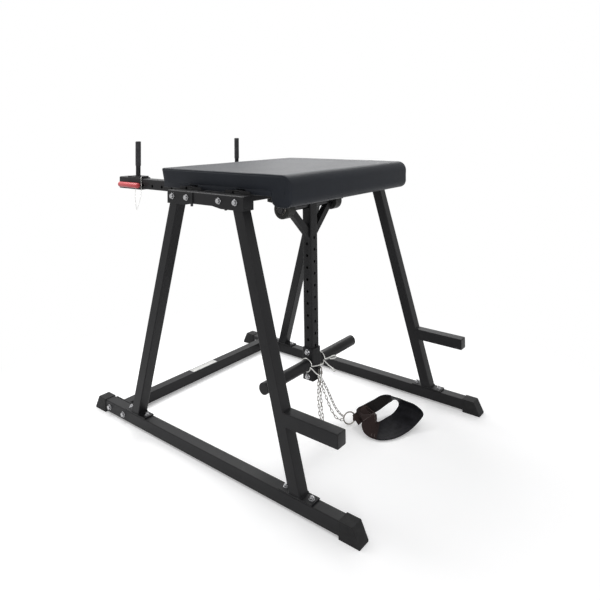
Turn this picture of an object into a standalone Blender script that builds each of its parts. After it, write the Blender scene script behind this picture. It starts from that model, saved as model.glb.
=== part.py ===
"""Reverse hyperextension machine, modelled as its separate parts at real size.

Metres, +Z up. +X points from the handles to the side where the legs swing, -Y is the near side.
The origin is on the floor, under the middle of the machine.
"""

import math

import bmesh
import bpy
from mathutils import Matrix, Vector

MM = 0.001

# Clearances
GAP = 0.3 * MM              # between pieces that touch
SLIDE_GAP = 0.5 * MM        # round a tube that slides
SPIN_GAP = 0.3 * MM         # between the bearing's ring and its housing
CUT = 5 * MM                # how far a cutter runs past the face that it opens

# Main square tube
TUBE = 50 * MM
TUBE_WALL = 3 * MM
TUBE_CORNER = 4 * MM

# Base
TRACK_HALF = 515 * MM       # rail centre line from the middle plane
RAIL_REAR_X = -715 * MM
RAIL_FRONT_X = 753 * MM
FOOT_BASE = 8 * MM          # rubber under the rail
FOOT_LENGTH = 59 * MM
FOOT_WALL = 2.2 * MM
FOOT_END_WALL = 3 * MM
FOOT_TOE = 24 * MM
FOOT_TOE_HEIGHT = 7 * MM
FOOT_CHAMFER = 6 * MM
CROSSMEMBER_X = -571 * MM
CROSSMEMBER_PLATE_LENGTH = 160 * MM
CROSSMEMBER_PLATE = 5 * MM
RAIL_BOLT_SPACING = 110 * MM

# Legs and their brackets
REAR_LEG_FOOT_X = -430 * MM
REAR_LEG_TOP_X = -148 * MM
FRONT_LEG_FOOT_X = 510 * MM
FRONT_LEG_TOP_X = 239 * MM
BASE_PLATE_LENGTH = 150 * MM
BASE_PLATE = 5 * MM
BRACKET_WALL = 4 * MM
BRACKET_BASE = 6 * MM
BRACKET_TOP_DROP = 2 * MM   # bracket walls end below the beam's top
BRACKET_CHAMFER = 16 * MM
REAR_BRACKET_LENGTH = 163 * MM
FRONT_BRACKET_LENGTH = 174 * MM
STEP_BOTTOM_Z = 286 * MM
STEP_END_X = 697.5 * MM

# Top frame
BEAM_BOTTOM_Z = 1043 * MM
BEAM_REAR_X = -183 * MM
BEAM_FRONT_X = 275 * MM
CROSS_RISE = 13 * MM        # cross tubes stand this far above the beams' underside
REAR_CROSS_X = -111 * MM
PIVOT_X = 177 * MM          # front cross tube, bearings and pendulum
CROSS_PLATE_LENGTH = 140 * MM
CROSS_PLATE_DROP = 9 * MM   # end plates reach below the cross tube
CROSS_PLATE_STEP = 1 * MM   # and stop short of its top
CROSS_PLATE = 5 * MM
BEAM_BOLT_SPACING = 92 * MM
BEAM_BOLT_SHIFT = 8 * MM  # the end plates and their bolts stand this far in front of their tube

# Bolts
BOLT_D = 12 * MM
BOLT_HEAD_R = 10.5 * MM
BOLT_HEAD_H = 7.5 * MM
BOLT_NUT_H = 9 * MM
WASHER_R = 12 * MM
WASHER_H = 2.5 * MM

# Bearings
BEARING_Y = 181.6 * MM      # middle of a housing from the middle plane
BEARING_WIDTH = 48 * MM
BEARING_R = 42.5 * MM
BEARING_HEIGHT = 43 * MM    # shaft centre to the foot's face
BEARING_FOOT_LENGTH = 165 * MM
BEARING_FOOT = 17 * MM
BEARING_MOUNT = 10 * MM
BEARING_STUB = 8.7 * MM
BEARING_STUB_LENGTH = 42 * MM
BEARING_STUB_INSET = 2 * MM
BEARING_FOOT_EDGE = 3 * MM
BEARING_SHOULDER = 12 * MM  # foot's flat beside the round body
SHAFT_R = 15 * MM
SHAFT_HALF = 215 * MM
RING_R = 21 * MM
RING_HALF = 27 * MM

# Pendulum
UPRIGHT_LENGTH = 824 * MM
HOLE_D = 12 * MM
HOLE_PITCH = 55 * MM
HOLE_FIRST = 15 * MM        # lowest side hole above the upright's end
SIDE_HOLES = 12
FRONT_HOLES = 10
FRONT_HOLE_SKIP = 2         # the carrier covers these
BRACE_TUBE = 30 * MM
BRACE_ANGLE = math.radians(45)
BRACE_FOOT_DROP = 129 * MM  # brace foot below the shaft
BRACE_END_GAP = 4 * MM      # to the bearing's inner ring
CARRIER_SIDE = 60 * MM
CARRIER_HEIGHT = 145 * MM
CARRIER_DROP = 2 * MM       # carrier ends below the upright
CARRIER_CORNER = 5 * MM
CARRIER_BOLT_HOLES = (0, 2)
SLEEVE_HOLE = 1             # the weight sleeves stand at this side hole
SLEEVE_R = 25 * MM
SLEEVE_WALL = 3 * MM
SLEEVE_END_Y = 334 * MM
PLUG_HEAD = 4 * MM
PLUG_DEPTH = 20 * MM
END_CHAMFER = 1.5 * MM      # of the shaft, the inner rings and the plugs
EYE_Z_RISE = 54.5 * MM      # eye bar above the carrier's end
EYE_STANDOFF = 14 * MM
EYE_HALF = 8 * MM
EYE_Y = 6 * MM              # the eye stands a little to the far side
EYE_WIRE_R = 3 * MM

# Pad
PAD_HALF_WIDTH = 466 * MM
PAD_TOP_Z = 1177 * MM
PAD_REAR_X = -326 * MM
PAD_FRONT_X = 443 * MM
PAD_NOSE_BACK_X = 340 * MM
PAD_NOSE_DROP = 58 * MM     # nose below the pad's underside
PAD_NOSE_R = 42 * MM
PAD_NOSE_LOW_R = 22 * MM
PAD_NOSE_BACK_R = 30 * MM
PAD_EDGE_R = 7 * MM
PAD_CROWN = 3 * MM
PAD_DRAW_IN = 8 * MM        # the sides lean in towards the underside
PAD_SKIRT = 17 * MM         # the side panels hang below the underside
PAD_SKIRT_WALL = 11.5 * MM
PAD_SKIRT_INSET = 0.5 * MM
BOARD = 18 * MM
BOARD_INSET = 22 * MM

# Handles
HANDLE_Y = 356 * MM
HANDLE_REAR_X = -772 * MM
HANDLE_HOLE_D = 14 * MM
HANDLE_HOLE_PITCH = 75 * MM
HANDLE_HOLES = 8
HANDLE_HOLES_BEHIND = 1     # holes behind the pin
HANDLE_HOLE_DROP = 7 * MM   # below the tube's middle
CARRIAGE_SIDE = 60 * MM
CARRIAGE_REAR_X = -780 * MM
CARRIAGE_LENGTH = 182 * MM
POST_X = -660 * MM
POST_R = 12 * MM
POST_PLATE_LENGTH = 100 * MM
POST_PLATE_WIDTH = 56 * MM
POST_PLATE = 6 * MM
POST_TAB = 6 * MM
POST_TAB_WIDTH = 30 * MM
POST_BARE = 51 * MM         # post between its plate and the grip
GRIP_LENGTH = 126 * MM
GRIP_R = 14 * MM
GRIP_TIP = 5 * MM
GRIP_EDGE = 3 * MM
GRIP_CUFF = 1 * MM          # the grip is this much thinner at its foot
PIN_R = 6 * MM
PIN_HOME_TRAVEL = 4 * MM    # from rest into the tube's hole
T_BAR_R = 13 * MM
T_BAR_EDGE = 2 * MM
T_BAR_REAR_X = -752 * MM
T_BAR_FRONT_X = -590 * MM
LANYARD_R = 1 * MM
LANYARD_PIN_X = -616 * MM
LANYARD_TAB_X = -590 * MM
LANYARD_DIP_Z = 953 * MM
LANYARD_STANDOFF = 4 * MM   # from the carriage's face
LANYARD_SPACING = 14 * MM

# Pull strap
SNAP_WIRE_R = 2.5 * MM
SNAP_HALF_WIDTH = 8 * MM
SNAP_HEIGHT = 50 * MM
CHAIN_R = 5 * MM
CHAIN_SPACING = 26 * MM
CHAIN_START_SHIFT = 3 * MM
CHAIN_NEAR_ROUTE_MM = ((236, 10, 150), (248, 24, 100), (262, 36, 55), (280, 45, 26), (299.5, 49.3, 19.8),
                       (315.8, 50.7, 24.8))
CHAIN_FAR_ROUTE_MM = ((238, 32, 150), (248, 50, 104), (258, 62, 68), (271, 68, 46), (288, 66, 37),
                      (304, 58.5, 37), (317.5, 53.5, 37))
CHAIN_TAIL_ROUTE_MM = ((217, -6, 120), (224, -8, 60), (230, -8, 24), (236, -4, 9), (236, 7, 9),
                       (230, 11, 24), (224, 11, 60), (218, 13, 120))
RING_WIRE_R = 3 * MM
RING_CENTRE = (336 * MM, 70 * MM, 31 * MM)
RING_LOOP_R = 27 * MM
RING_HEADING = math.radians(52)
STRAP_WALL = 8 * MM
STRAP_BULGE = 7 * MM         # the pad bows out between its rims
STRAP_OUTER_RIM_MM = ((354, 105, 60), (361, 160, 64), (382, 209, 74), (400, 242, 84), (433, 249, 92),
                      (482, 244, 96), (539, 245, 94), (578, 257, 84), (611, 259, 58), (601, 226, 30),
                      (586, 164, 13), (563, 93, 7), (524, 42, 6), (478, 26, 8), (440, 28, 17),
                      (418, 43, 35), (410, 61, 52))
STRAP_INNER_RIM_MM = ((374, 128, 12), (381, 175, 16), (400, 216, 24), (412, 259, 34), (423, 288, 44),
                      (446, 295, 60), (470, 282, 62), (480, 268, 56), (480, 254, 46), (478, 233, 38),
                      (475, 208, 33), (469, 177, 32), (467, 141, 34), (467, 108, 40), (471, 87, 52),
                      (471, 88, 68), (460, 90, 80))
STRAP_TAB_WEB = 2 * MM      # webbing that loops through the ring
STRAP_TAB_HEIGHT = 28 * MM
STRAP_TAB_REACH = 30 * MM  # from the ring's rim into the band
STRAP_STEPS = 68

# Spring clips
CLIP_WIRE_R = 2.5 * MM
CLIP_LOOP_R = 28.2 * MM
CLIP_STRAIGHT_END_MM = (25, 56, -1)
CLIP_STRAIGHT_BEND_MM = (17, 24, 0)
CLIP_GRIP_TIP_MM = (41, 32, -52)
CLIP_GRIP_HALF = 6 * MM
CLIP_GRIP = ((0.62, 0.4), (0.8, 1.0), (0.95, 0.9), (1.0, 0.0), (0.95, -0.9), (0.8, -1.0), (0.7, -0.8))
CLIP_NEAR_Y = -46 * MM
CLIP_FAR_Y = 56 * MM

# Roundness
CORNER_STEPS = 2
ARC_STEPS = 18
BOLT_SIDES = 12
HOLE_SIDES = 8
ROUND_SIDES = 20
POST_SIDES = 16

# Sizes worked out from the ones above
RAIL_BOTTOM_Z = FOOT_BASE
RAIL_TOP_Z = RAIL_BOTTOM_Z + TUBE
LEG_BOTTOM_Z = RAIL_TOP_Z + GAP
LEG_TOP_Z = BEAM_BOTTOM_Z - GAP - BRACKET_BASE
BEAM_TOP_Z = BEAM_BOTTOM_Z + TUBE
BEAM_BOLT_Z = BEAM_BOTTOM_Z + TUBE / 2
CROSS_BOTTOM_Z = BEAM_BOTTOM_Z + CROSS_RISE
CROSS_TOP_Z = CROSS_BOTTOM_Z + TUBE
PIVOT_Z = CROSS_BOTTOM_Z - BEARING_STUB - BEARING_MOUNT - GAP - BEARING_HEIGHT
FRAME_OUTER_Y = TRACK_HALF + TUBE / 2
FRAME_INNER_Y = TRACK_HALF - TUBE / 2
CROSSMEMBER_END_Y = FRAME_INNER_Y - GAP
CROSS_END_Y = FRAME_INNER_Y - GAP - BRACKET_WALL - GAP
UPRIGHT_TOP_Z = PIVOT_Z + TUBE / 2
UPRIGHT_BOTTOM_Z = UPRIGHT_TOP_Z - UPRIGHT_LENGTH
HOLE_FIRST_Z = UPRIGHT_BOTTOM_Z + HOLE_FIRST
CARRIER_BOTTOM_Z = UPRIGHT_BOTTOM_Z - CARRIER_DROP
SLEEVE_Z = HOLE_FIRST_Z + SLEEVE_HOLE * HOLE_PITCH
EYE_X = PIVOT_X + CARRIER_SIDE / 2 + EYE_STANDOFF
EYE_Z = CARRIER_BOTTOM_Z + EYE_Z_RISE
SNAP_TOP_Z = EYE_Z + EYE_WIRE_R + GAP + SNAP_WIRE_R
SNAP_BOTTOM_Z = SNAP_TOP_Z - SNAP_HEIGHT
PAD_BOTTOM_Z = CROSS_TOP_Z + GAP
HANDLE_Z = CROSS_BOTTOM_Z + TUBE / 2
PIN_Z = HANDLE_Z - HANDLE_HOLE_DROP
HANDLE_FACE_Y = HANDLE_Y + TUBE / 2
GRIP_TOP_Z = HANDLE_Z + CARRIAGE_SIDE / 2 + POST_PLATE + POST_BARE + GRIP_LENGTH
CARRIAGE_FACE_Y = HANDLE_Y + CARRIAGE_SIDE / 2
T_BAR_Y = CARRIAGE_FACE_Y + PIN_HOME_TRAVEL + GAP + T_BAR_R
HOLE_BORE_R = BOLT_D / 2 + GAP
SIDES = (("near", -1), ("far", 1))


def clear_scene():
    """Remove every object, mesh, curve and material."""
    for item in list(bpy.data.objects):
        bpy.data.objects.remove(item, do_unlink=True)
    for store in (bpy.data.meshes, bpy.data.curves, bpy.data.materials):
        for item in list(store):
            store.remove(item)


def make_material(name, colour, roughness, metallic=0.0):
    """A plain Principled material."""
    material = bpy.data.materials.new(name)
    material.use_nodes = True
    shader = material.node_tree.nodes["Principled BSDF"]
    shader.inputs["Base Color"].default_value = (*colour, 1.0)
    shader.inputs["Roughness"].default_value = roughness
    shader.inputs["Metallic"].default_value = metallic
    return material


# Outlines

def rounded_rectangle(width, height, radius, steps=CORNER_STEPS):
    """Corner-rounded rectangle about its middle, anticlockwise."""
    points = []
    corners = ((1, 1, 0), (-1, 1, 90), (-1, -1, 180), (1, -1, 270))
    for sign_u, sign_v, start in corners:
        for step in range(steps + 1):
            angle = math.radians(start + 90 * step / steps)
            u = sign_u * (width / 2 - radius) + radius * math.cos(angle)
            v = sign_v * (height / 2 - radius) + radius * math.sin(angle)
            points.append((u, v))
    return points


def circle(radius, sides, start=0.0):
    """Regular outline about its middle."""
    turn = 2 * math.pi / sides
    angles = [start + turn * i for i in range(sides)]
    return [(radius * math.cos(angle), radius * math.sin(angle)) for angle in angles]


def shift(outline, du, dv):
    """Outline moved in its own plane."""
    return [(u + du, v + dv) for u, v in outline]


def in_space(axis, along, u, v):
    """Point from its place along an axis and its two other coordinates, in X, Y, Z order."""
    if axis == "X":
        return Vector((along, u, v))
    if axis == "Y":
        return Vector((u, along, v))
    return Vector((u, v, along))


def in_metres(point):
    """Point given in millimetres."""
    return tuple(value * MM for value in point)


# Meshes

def make_node(name, mesh):
    """Object that holds a mesh."""
    node = bpy.data.objects.new(name, mesh)
    bpy.context.scene.collection.objects.link(node)
    return node


def mesh_from(name, points, faces):
    """Node from points and faces, with its faces turned outward."""
    mesh = bpy.data.meshes.new(name)
    mesh.from_pydata([tuple(point) for point in points], [], faces)
    work = bmesh.new()
    work.from_mesh(mesh)
    bmesh.ops.recalc_face_normals(work, faces=work.faces)
    work.to_mesh(mesh)
    work.free()
    return make_node(name, mesh)


def loft(name, rings):
    """Closed solid through rings of equally many points, with a flat cap at each end."""
    count = len(rings[0])
    points = [point for ring in rings for point in ring]
    faces = [tuple(range(count)), tuple(range(len(points) - count, len(points)))]
    for level in range(len(rings) - 1):
        low = level * count
        for i in range(count):
            j = (i + 1) % count
            faces.append((low + i, low + j, low + count + j, low + count + i))
    return mesh_from(name, points, faces)


def loop_loft(name, rings):
    """Solid whose rings run round and join the first again."""
    count = len(rings[0])
    points = [point for ring in rings for point in ring]
    faces = []
    for level in range(len(rings)):
        low = level * count
        high = (level + 1) % len(rings) * count
        for i in range(count):
            j = (i + 1) % count
            faces.append((low + i, low + j, high + j, high + i))
    return mesh_from(name, points, faces)


def prism(name, outline, axis, start, end):
    """Outline pushed along an axis."""
    return loft(name, [[in_space(axis, along, u, v) for u, v in outline] for along in (start, end)])


def pipe(name, outer, inner, axis, start, end):
    """Tube with an outer and an inner outline of equally many points."""
    rings = []
    for outline, along in ((outer, start), (outer, end), (inner, end), (inner, start)):
        rings.append([in_space(axis, along, u, v) for u, v in outline])
    return loop_loft(name, rings)


def box(name, low, high):
    """Block between two corners."""
    outline = ((low[0], low[1]), (high[0], low[1]), (high[0], high[1]), (low[0], high[1]))
    return prism(name, outline, "Z", low[2], high[2])


def square_tube(name, axis, start, end, centre, side=TUBE, wall=TUBE_WALL, corner=TUBE_CORNER):
    """Square tube, open at both ends."""
    outer = rounded_rectangle(side, side, corner)
    inner = rounded_rectangle(side - 2 * wall, side - 2 * wall, max(corner - wall, 0.25 * corner))
    return pipe(name, shift(outer, *centre), shift(inner, *centre), axis, start, end)


def square_core(name, axis, start, end, centre, side=TUBE, wall=TUBE_WALL, corner=TUBE_CORNER):
    """The space inside a square tube, for cutting."""
    inner = rounded_rectangle(side - 2 * wall, side - 2 * wall, max(corner - wall, 0.25 * corner))
    return prism(name, shift(inner, *centre), axis, start, end)


def square_bar(name, axis, start, end, centre, side=TUBE, corner=TUBE_CORNER):
    """Solid square section."""
    return prism(name, shift(rounded_rectangle(side, side, corner), *centre), axis, start, end)


def turned(name, profile, axis, centre, sides=ROUND_SIDES):
    """Solid of revolution through (place along the axis, radius) pairs."""
    rings = []
    for along, radius in profile:
        rings.append([in_space(axis, along, u, v) for u, v in shift(circle(radius, sides), *centre)])
    return loft(name, rings)


def turned_ring(name, profile, axis, centre, sides=ROUND_SIDES):
    """Ring of revolution whose profile closes on itself."""
    rings = []
    for along, radius in profile:
        rings.append([in_space(axis, along, u, v) for u, v in shift(circle(radius, sides), *centre)])
    return loop_loft(name, rings)


def combine(target, others, operation):
    """Boolean of the target with each other object, which is then removed."""
    for other in others:
        modifier = target.modifiers.new(operation.lower(), "BOOLEAN")
        modifier.operation = operation
        modifier.solver = "EXACT"
        modifier.object = other
        view = bpy.context.evaluated_depsgraph_get()
        mesh = bpy.data.meshes.new_from_object(target.evaluated_get(view))
        target.modifiers.clear()
        old = target.data
        target.data = mesh
        bpy.data.meshes.remove(old)
        bpy.data.objects.remove(other, do_unlink=True)
    target.data.name = target.name
    return target


def cut(target, *cutters):
    """Target less its cutters."""
    return combine(target, cutters, "DIFFERENCE")


def weld(target, *others):
    """Target and others as one body."""
    return combine(target, others, "UNION")


def bores(name, axis, start, end, centres, radius, sides=HOLE_SIDES):
    """One cutter with a cylinder at each centre, whose flats clear the radius."""
    points = []
    faces = []
    for centre in centres:
        base = len(points)
        outline = shift(circle(radius / math.cos(math.pi / sides), sides, math.pi / sides), *centre)
        points += [in_space(axis, along, u, v) for along in (start, end) for u, v in outline]
        faces.append(tuple(range(base, base + sides)))
        faces.append(tuple(range(base + sides, base + 2 * sides)))
        for i in range(sides):
            j = (i + 1) % sides
            faces.append((base + i, base + j, base + sides + j, base + sides + i))
    return mesh_from(name, points, faces)


def spline_point(known, t):
    """Point between the middle two of four known points, on the smooth curve through them."""
    a, b, c, d = known
    square = 2 * a - 5 * b + 4 * c - d
    cube = 3 * b - a - 3 * c + d
    return 0.5 * (2 * b + (c - a) * t + square * t ** 2 + cube * t ** 3)


def smooth_route(points, spacing):
    """Evenly spaced points on a smooth curve through the given ones."""
    known = [Vector(point) for point in points]
    ends = [2 * known[0] - known[1]] + known + [2 * known[-1] - known[-2]]
    fine = []
    per_span = 24
    for i in range(1, len(ends) - 2):
        for step in range(per_span):
            fine.append(spline_point(ends[i - 1:i + 3], step / per_span))
    fine.append(known[-1])
    lengths = [0.0]
    for first, second in zip(fine, fine[1:]):
        lengths.append(lengths[-1] + (second - first).length)
    count = max(2, round(lengths[-1] / spacing))
    route = []
    place = 0
    for i in range(count + 1):
        wanted = lengths[-1] * i / count
        while place < len(lengths) - 2 and lengths[place + 1] < wanted:
            place += 1
        span = lengths[place + 1] - lengths[place]
        route.append(fine[place].lerp(fine[place + 1], (wanted - lengths[place]) / span))
    return route


def wire(name, route, radius, resolution=2, closed=False):
    """Round wire along a route."""
    curve = bpy.data.curves.new(name, "CURVE")
    curve.dimensions = "3D"
    curve.bevel_depth = radius
    curve.bevel_resolution = resolution
    curve.use_fill_caps = not closed
    spline = curve.splines.new("POLY")
    spline.points.add(len(route) - 1)
    for point, place in zip(spline.points, route):
        point.co = (*place, 1.0)
    spline.use_cyclic_u = closed
    return make_node(name, curve)


def as_mesh(node):
    """The node's curve turned into a mesh."""
    view = bpy.context.evaluated_depsgraph_get()
    mesh = bpy.data.meshes.new_from_object(node.evaluated_get(view))
    name = node.name
    bpy.data.objects.remove(node, do_unlink=True)
    return make_node(name, mesh)


def dress(node, material, smooth=False):
    """Give a node its material and shading."""
    node.data.materials.clear()
    node.data.materials.append(material)
    if smooth and node.type == "MESH":
        node.data.shade_smooth()
        node.data.set_sharp_from_angle(angle=math.radians(35))
    return node


class Axis:
    """An empty on a joint's axis, and where it stands."""

    def __init__(self, name, origin, parent=None):
        self.location_in_world = Vector(origin)
        self.empty = bpy.data.objects.new(name, None)
        bpy.context.scene.collection.objects.link(self.empty)
        self.empty.location = self.location_in_world
        if parent is not None:
            self.empty.parent = parent.empty
            self.empty.location = self.location_in_world - parent.location_in_world

    def carry(self, node):
        """Parent a node here, with its origin on the axis."""
        node.data.transform(Matrix.Translation(-self.location_in_world))
        node.parent = self.empty
        return node


def stand(node, origin):
    """Give a fixed node its origin."""
    origin = Vector(origin)
    node.data.transform(Matrix.Translation(-origin))
    node.location = origin
    return node


# Fasteners

def through_bolt(name, x, z, head_y, nut_y):
    """Bolt along Y with its washer and head at one face and its nut at the other, as one solid."""
    out = math.copysign(1, head_y - nut_y)
    hexagon = circle(BOLT_HEAD_R, BOLT_SIDES)
    hexagon = [(u, v) if i % 2 == 0 else (u * math.cos(math.pi / 6), v * math.cos(math.pi / 6))
               for i, (u, v) in enumerate(hexagon)]
    washer = circle(WASHER_R, BOLT_SIDES)
    shank = circle(BOLT_D / 2, BOLT_SIDES)
    head_face = head_y + out * GAP
    nut_face = nut_y - out * GAP
    profile = (
        (hexagon, head_face + out * (WASHER_H + BOLT_HEAD_H)),
        (hexagon, head_face + out * WASHER_H),
        (washer, head_face + out * WASHER_H),
        (washer, head_face),
        (shank, head_face),
        (shank, nut_face),
        (hexagon, nut_face),
        (hexagon, nut_face - out * BOLT_NUT_H),
    )
    rings = [[in_space("Y", along, u + x, v + z) for u, v in outline] for outline, along in profile]
    return stand(loft(name, rings), (x, head_y, z))


# The base

def make_rail(side, sign, paint):
    """Rail tube with the holes for the crossmember's bolts."""
    y = sign * TRACK_HALF
    z = RAIL_BOTTOM_Z + TUBE / 2
    rail = square_tube(f"base_rail_{side}", "X", RAIL_REAR_X, RAIL_FRONT_X, (y, z))
    centres = [(x, z) for x in rail_bolt_places()]
    cut(rail, bores("rail_bores", "Y", y - TUBE / 2 - CUT, y + TUBE / 2 + CUT, centres, HOLE_BORE_R))
    stand(rail, (RAIL_REAR_X, y, z))
    dress(rail, paint)


def rail_bolt_places():
    """X of the two bolts at each end of the crossmember."""
    return [CROSSMEMBER_X + sign * RAIL_BOLT_SPACING / 2 for sign in (-1, 1)]


def make_foot(name, end_x, out, y, rubber):
    """Rubber shoe over a rail's end, with a toe that spreads on the floor."""
    cap_x = end_x + out * (GAP + FOOT_END_WALL)
    back_x = cap_x - out * FOOT_LENGTH
    toe_x = cap_x + out * FOOT_TOE
    top_z = RAIL_TOP_Z + GAP + FOOT_WALL
    outline = (
        (back_x, 0.0),
        (toe_x, 0.0),
        (toe_x, FOOT_TOE_HEIGHT),
        (cap_x, top_z - FOOT_CHAMFER),
        (cap_x - out * FOOT_CHAMFER / 2, top_z),
        (back_x, top_z),
    )
    half = TUBE / 2 + GAP + FOOT_WALL
    foot = prism(name, outline, "Y", y - half, y + half)
    pocket = TUBE / 2 + GAP
    low_x, high_x = sorted((back_x - out * CUT, end_x + out * GAP))
    low = (low_x, y - pocket, RAIL_BOTTOM_Z - GAP)
    high = (high_x, y + pocket, RAIL_TOP_Z + GAP)
    cut(foot, box("pocket", low, high))
    stand(foot, (end_x, y, 0.0))
    dress(foot, rubber)


def make_crossmember(paint):
    """Rear crossmember with an end plate welded to each end."""
    z = RAIL_BOTTOM_Z + TUBE / 2
    end = CROSSMEMBER_END_Y
    bar = square_bar("rear_crossmember", "Y", -end + CROSSMEMBER_PLATE / 2, end - CROSSMEMBER_PLATE / 2,
                     (CROSSMEMBER_X, z))
    centres = [(x, z) for x in rail_bolt_places()]
    for sign in (-1, 1):
        low, high = sorted((sign * end, sign * (end - CROSSMEMBER_PLATE)))
        outline = shift(rounded_rectangle(CROSSMEMBER_PLATE_LENGTH, TUBE, TUBE_CORNER), CROSSMEMBER_X, z)
        weld(bar, prism("end_plate", outline, "Y", low, high))
    cut(bar, bores("plate_bores", "Y", -end - CUT, end + CUT, centres, HOLE_BORE_R))
    cut(bar, square_core("crossmember_core", "Y", -end - CUT, end + CUT, (CROSSMEMBER_X, z)))
    stand(bar, (CROSSMEMBER_X, 0.0, z))
    dress(bar, paint)


def make_rail_bolts(side, sign, zinc):
    """Bolts that hold a rail to the crossmember."""
    z = RAIL_BOTTOM_Z + TUBE / 2
    for number, x in enumerate(rail_bolt_places(), start=1):
        nut_y = CROSSMEMBER_END_Y - CROSSMEMBER_PLATE
        dress(through_bolt(f"rail_bolt_{side}_{number}", x, z, sign * FRAME_OUTER_Y, sign * nut_y), zinc)


# Legs

def leg_x(foot_x, top_x, z):
    """Centre line of a leg at a height."""
    return foot_x + (top_x - foot_x) * (z - LEG_BOTTOM_Z) / (LEG_TOP_Z - LEG_BOTTOM_Z)


def slanted_prism(name, section, foot_x, top_x, y, low_z, high_z):
    """Square section that leans along X, cut level at both ends."""
    tilt = math.atan2(top_x - foot_x, LEG_TOP_Z - LEG_BOTTOM_Z)
    rings = []
    for z in (low_z, high_z):
        x = leg_x(foot_x, top_x, z)
        rings.append([Vector((x + u / math.cos(tilt), y + v, z)) for u, v in section])
    return loft(name, rings)


def make_leg(name, sign, foot_x, top_x, bracket, chamfer_at, step, paint):
    """Leg with its base plate and its U bracket, hollow and open below, and with a step if asked."""
    y = sign * TRACK_HALF
    outer = rounded_rectangle(TUBE, TUBE, TUBE_CORNER)
    inner = rounded_rectangle(TUBE - 2 * TUBE_WALL, TUBE - 2 * TUBE_WALL, TUBE_CORNER - TUBE_WALL)
    weld_in = BRACKET_BASE / 2
    leg = slanted_prism(name, outer, foot_x, top_x, y, LEG_BOTTOM_Z + BASE_PLATE / 2, LEG_TOP_Z + weld_in)

    plate_x = leg_x(foot_x, top_x, LEG_BOTTOM_Z)
    plate_low = (plate_x - BASE_PLATE_LENGTH / 2, y - TUBE / 2 + GAP, LEG_BOTTOM_Z)
    plate_high = (plate_x + BASE_PLATE_LENGTH / 2, y + TUBE / 2 - GAP, LEG_BOTTOM_Z + BASE_PLATE)
    weld(leg, box("base_plate", plate_low, plate_high))
    weld(leg, make_bracket(y, bracket, chamfer_at))
    if step:
        step_z = STEP_BOTTOM_Z + TUBE / 2
        start_x = leg_x(foot_x, top_x, step_z)
        weld(leg, square_bar("step_bar", "X", start_x, STEP_END_X, (y, step_z)))
        cut(leg, square_core("step_core", "X", start_x, STEP_END_X - TUBE_WALL, (y, step_z)))
    cut(leg, slanted_prism("leg_core", inner, foot_x, top_x, y, LEG_BOTTOM_Z - CUT, LEG_TOP_Z - TUBE_WALL))
    stand(leg, (plate_x, y, LEG_BOTTOM_Z))
    dress(leg, paint)


def make_bracket(y, span, chamfer_at):
    """U bracket that holds the beam: a base with a wall on each side, holed for the beam bolts."""
    start, end = span
    bottom = LEG_TOP_Z
    top = BEAM_TOP_Z - BRACKET_TOP_DROP
    rise = BRACKET_CHAMFER / 2
    run = 3 * BRACKET_CHAMFER
    if chamfer_at == "end":
        foot = ((start, bottom), (end - run, bottom), (end, bottom + rise))
    else:
        foot = ((start, bottom + rise), (start + run, bottom), (end, bottom))
    outline = (*foot, (end, top), (start, top))
    half = TUBE / 2 + GAP + BRACKET_WALL
    bracket = prism("bracket", outline, "Y", y - half, y + half)
    room = TUBE / 2 + GAP
    low = (start - CUT, y - room, BEAM_BOTTOM_Z - GAP)
    high = (end + CUT, y + room, top + CUT)
    cut(bracket, box("beam_room", low, high))
    centres = [(x, BEAM_BOLT_Z) for x in beam_bolt_places(REAR_CROSS_X) + beam_bolt_places(PIVOT_X)
               if start < x < end]
    cut(bracket, bores("bracket_bores", "Y", y - half - CUT, y + half + CUT, centres, HOLE_BORE_R))
    return bracket


def beam_bolt_places(cross_x):
    """X of the two bolts that hold a cross tube's end plate."""
    return [cross_x + BEAM_BOLT_SHIFT + sign * BEAM_BOLT_SPACING / 2 for sign in (-1, 1)]


def make_legs(side, sign, paint):
    """Rear leg and front leg of one side."""
    rear = (BEAM_REAR_X, BEAM_REAR_X + REAR_BRACKET_LENGTH)
    front = (BEAM_FRONT_X - FRONT_BRACKET_LENGTH, BEAM_FRONT_X)
    make_leg(f"rear_leg_{side}", sign, REAR_LEG_FOOT_X, REAR_LEG_TOP_X, rear, "end", False, paint)
    make_leg(f"front_leg_{side}", sign, FRONT_LEG_FOOT_X, FRONT_LEG_TOP_X, front, "start", True, paint)


# Top frame

def make_beam(side, sign, paint):
    """Top beam, closed at its front end, with its bolt holes."""
    y = sign * TRACK_HALF
    z = BEAM_BOTTOM_Z + TUBE / 2
    beam = square_bar(f"top_beam_{side}", "X", BEAM_REAR_X, BEAM_FRONT_X, (y, z))
    cut(beam, square_core("beam_core", "X", BEAM_REAR_X - CUT, BEAM_FRONT_X - TUBE_WALL, (y, z)))
    centres = [(x, BEAM_BOLT_Z) for x in beam_bolt_places(REAR_CROSS_X) + beam_bolt_places(PIVOT_X)]
    cut(beam, bores("beam_bores", "Y", y - TUBE / 2 - CUT, y + TUBE / 2 + CUT, centres, HOLE_BORE_R))
    stand(beam, (BEAM_REAR_X, y, z))
    dress(beam, paint)


def make_beam_bolts(side, sign, zinc):
    """Bolts through bracket, beam and end plate."""
    head_y = FRAME_OUTER_Y + GAP + BRACKET_WALL
    nut_y = CROSS_END_Y - CROSS_PLATE
    for number, x in enumerate(beam_bolt_places(REAR_CROSS_X) + beam_bolt_places(PIVOT_X), start=1):
        bolt = through_bolt(f"beam_bolt_{side}_{number}", x, BEAM_BOLT_Z, sign * head_y, sign * nut_y)
        dress(bolt, zinc)


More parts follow.
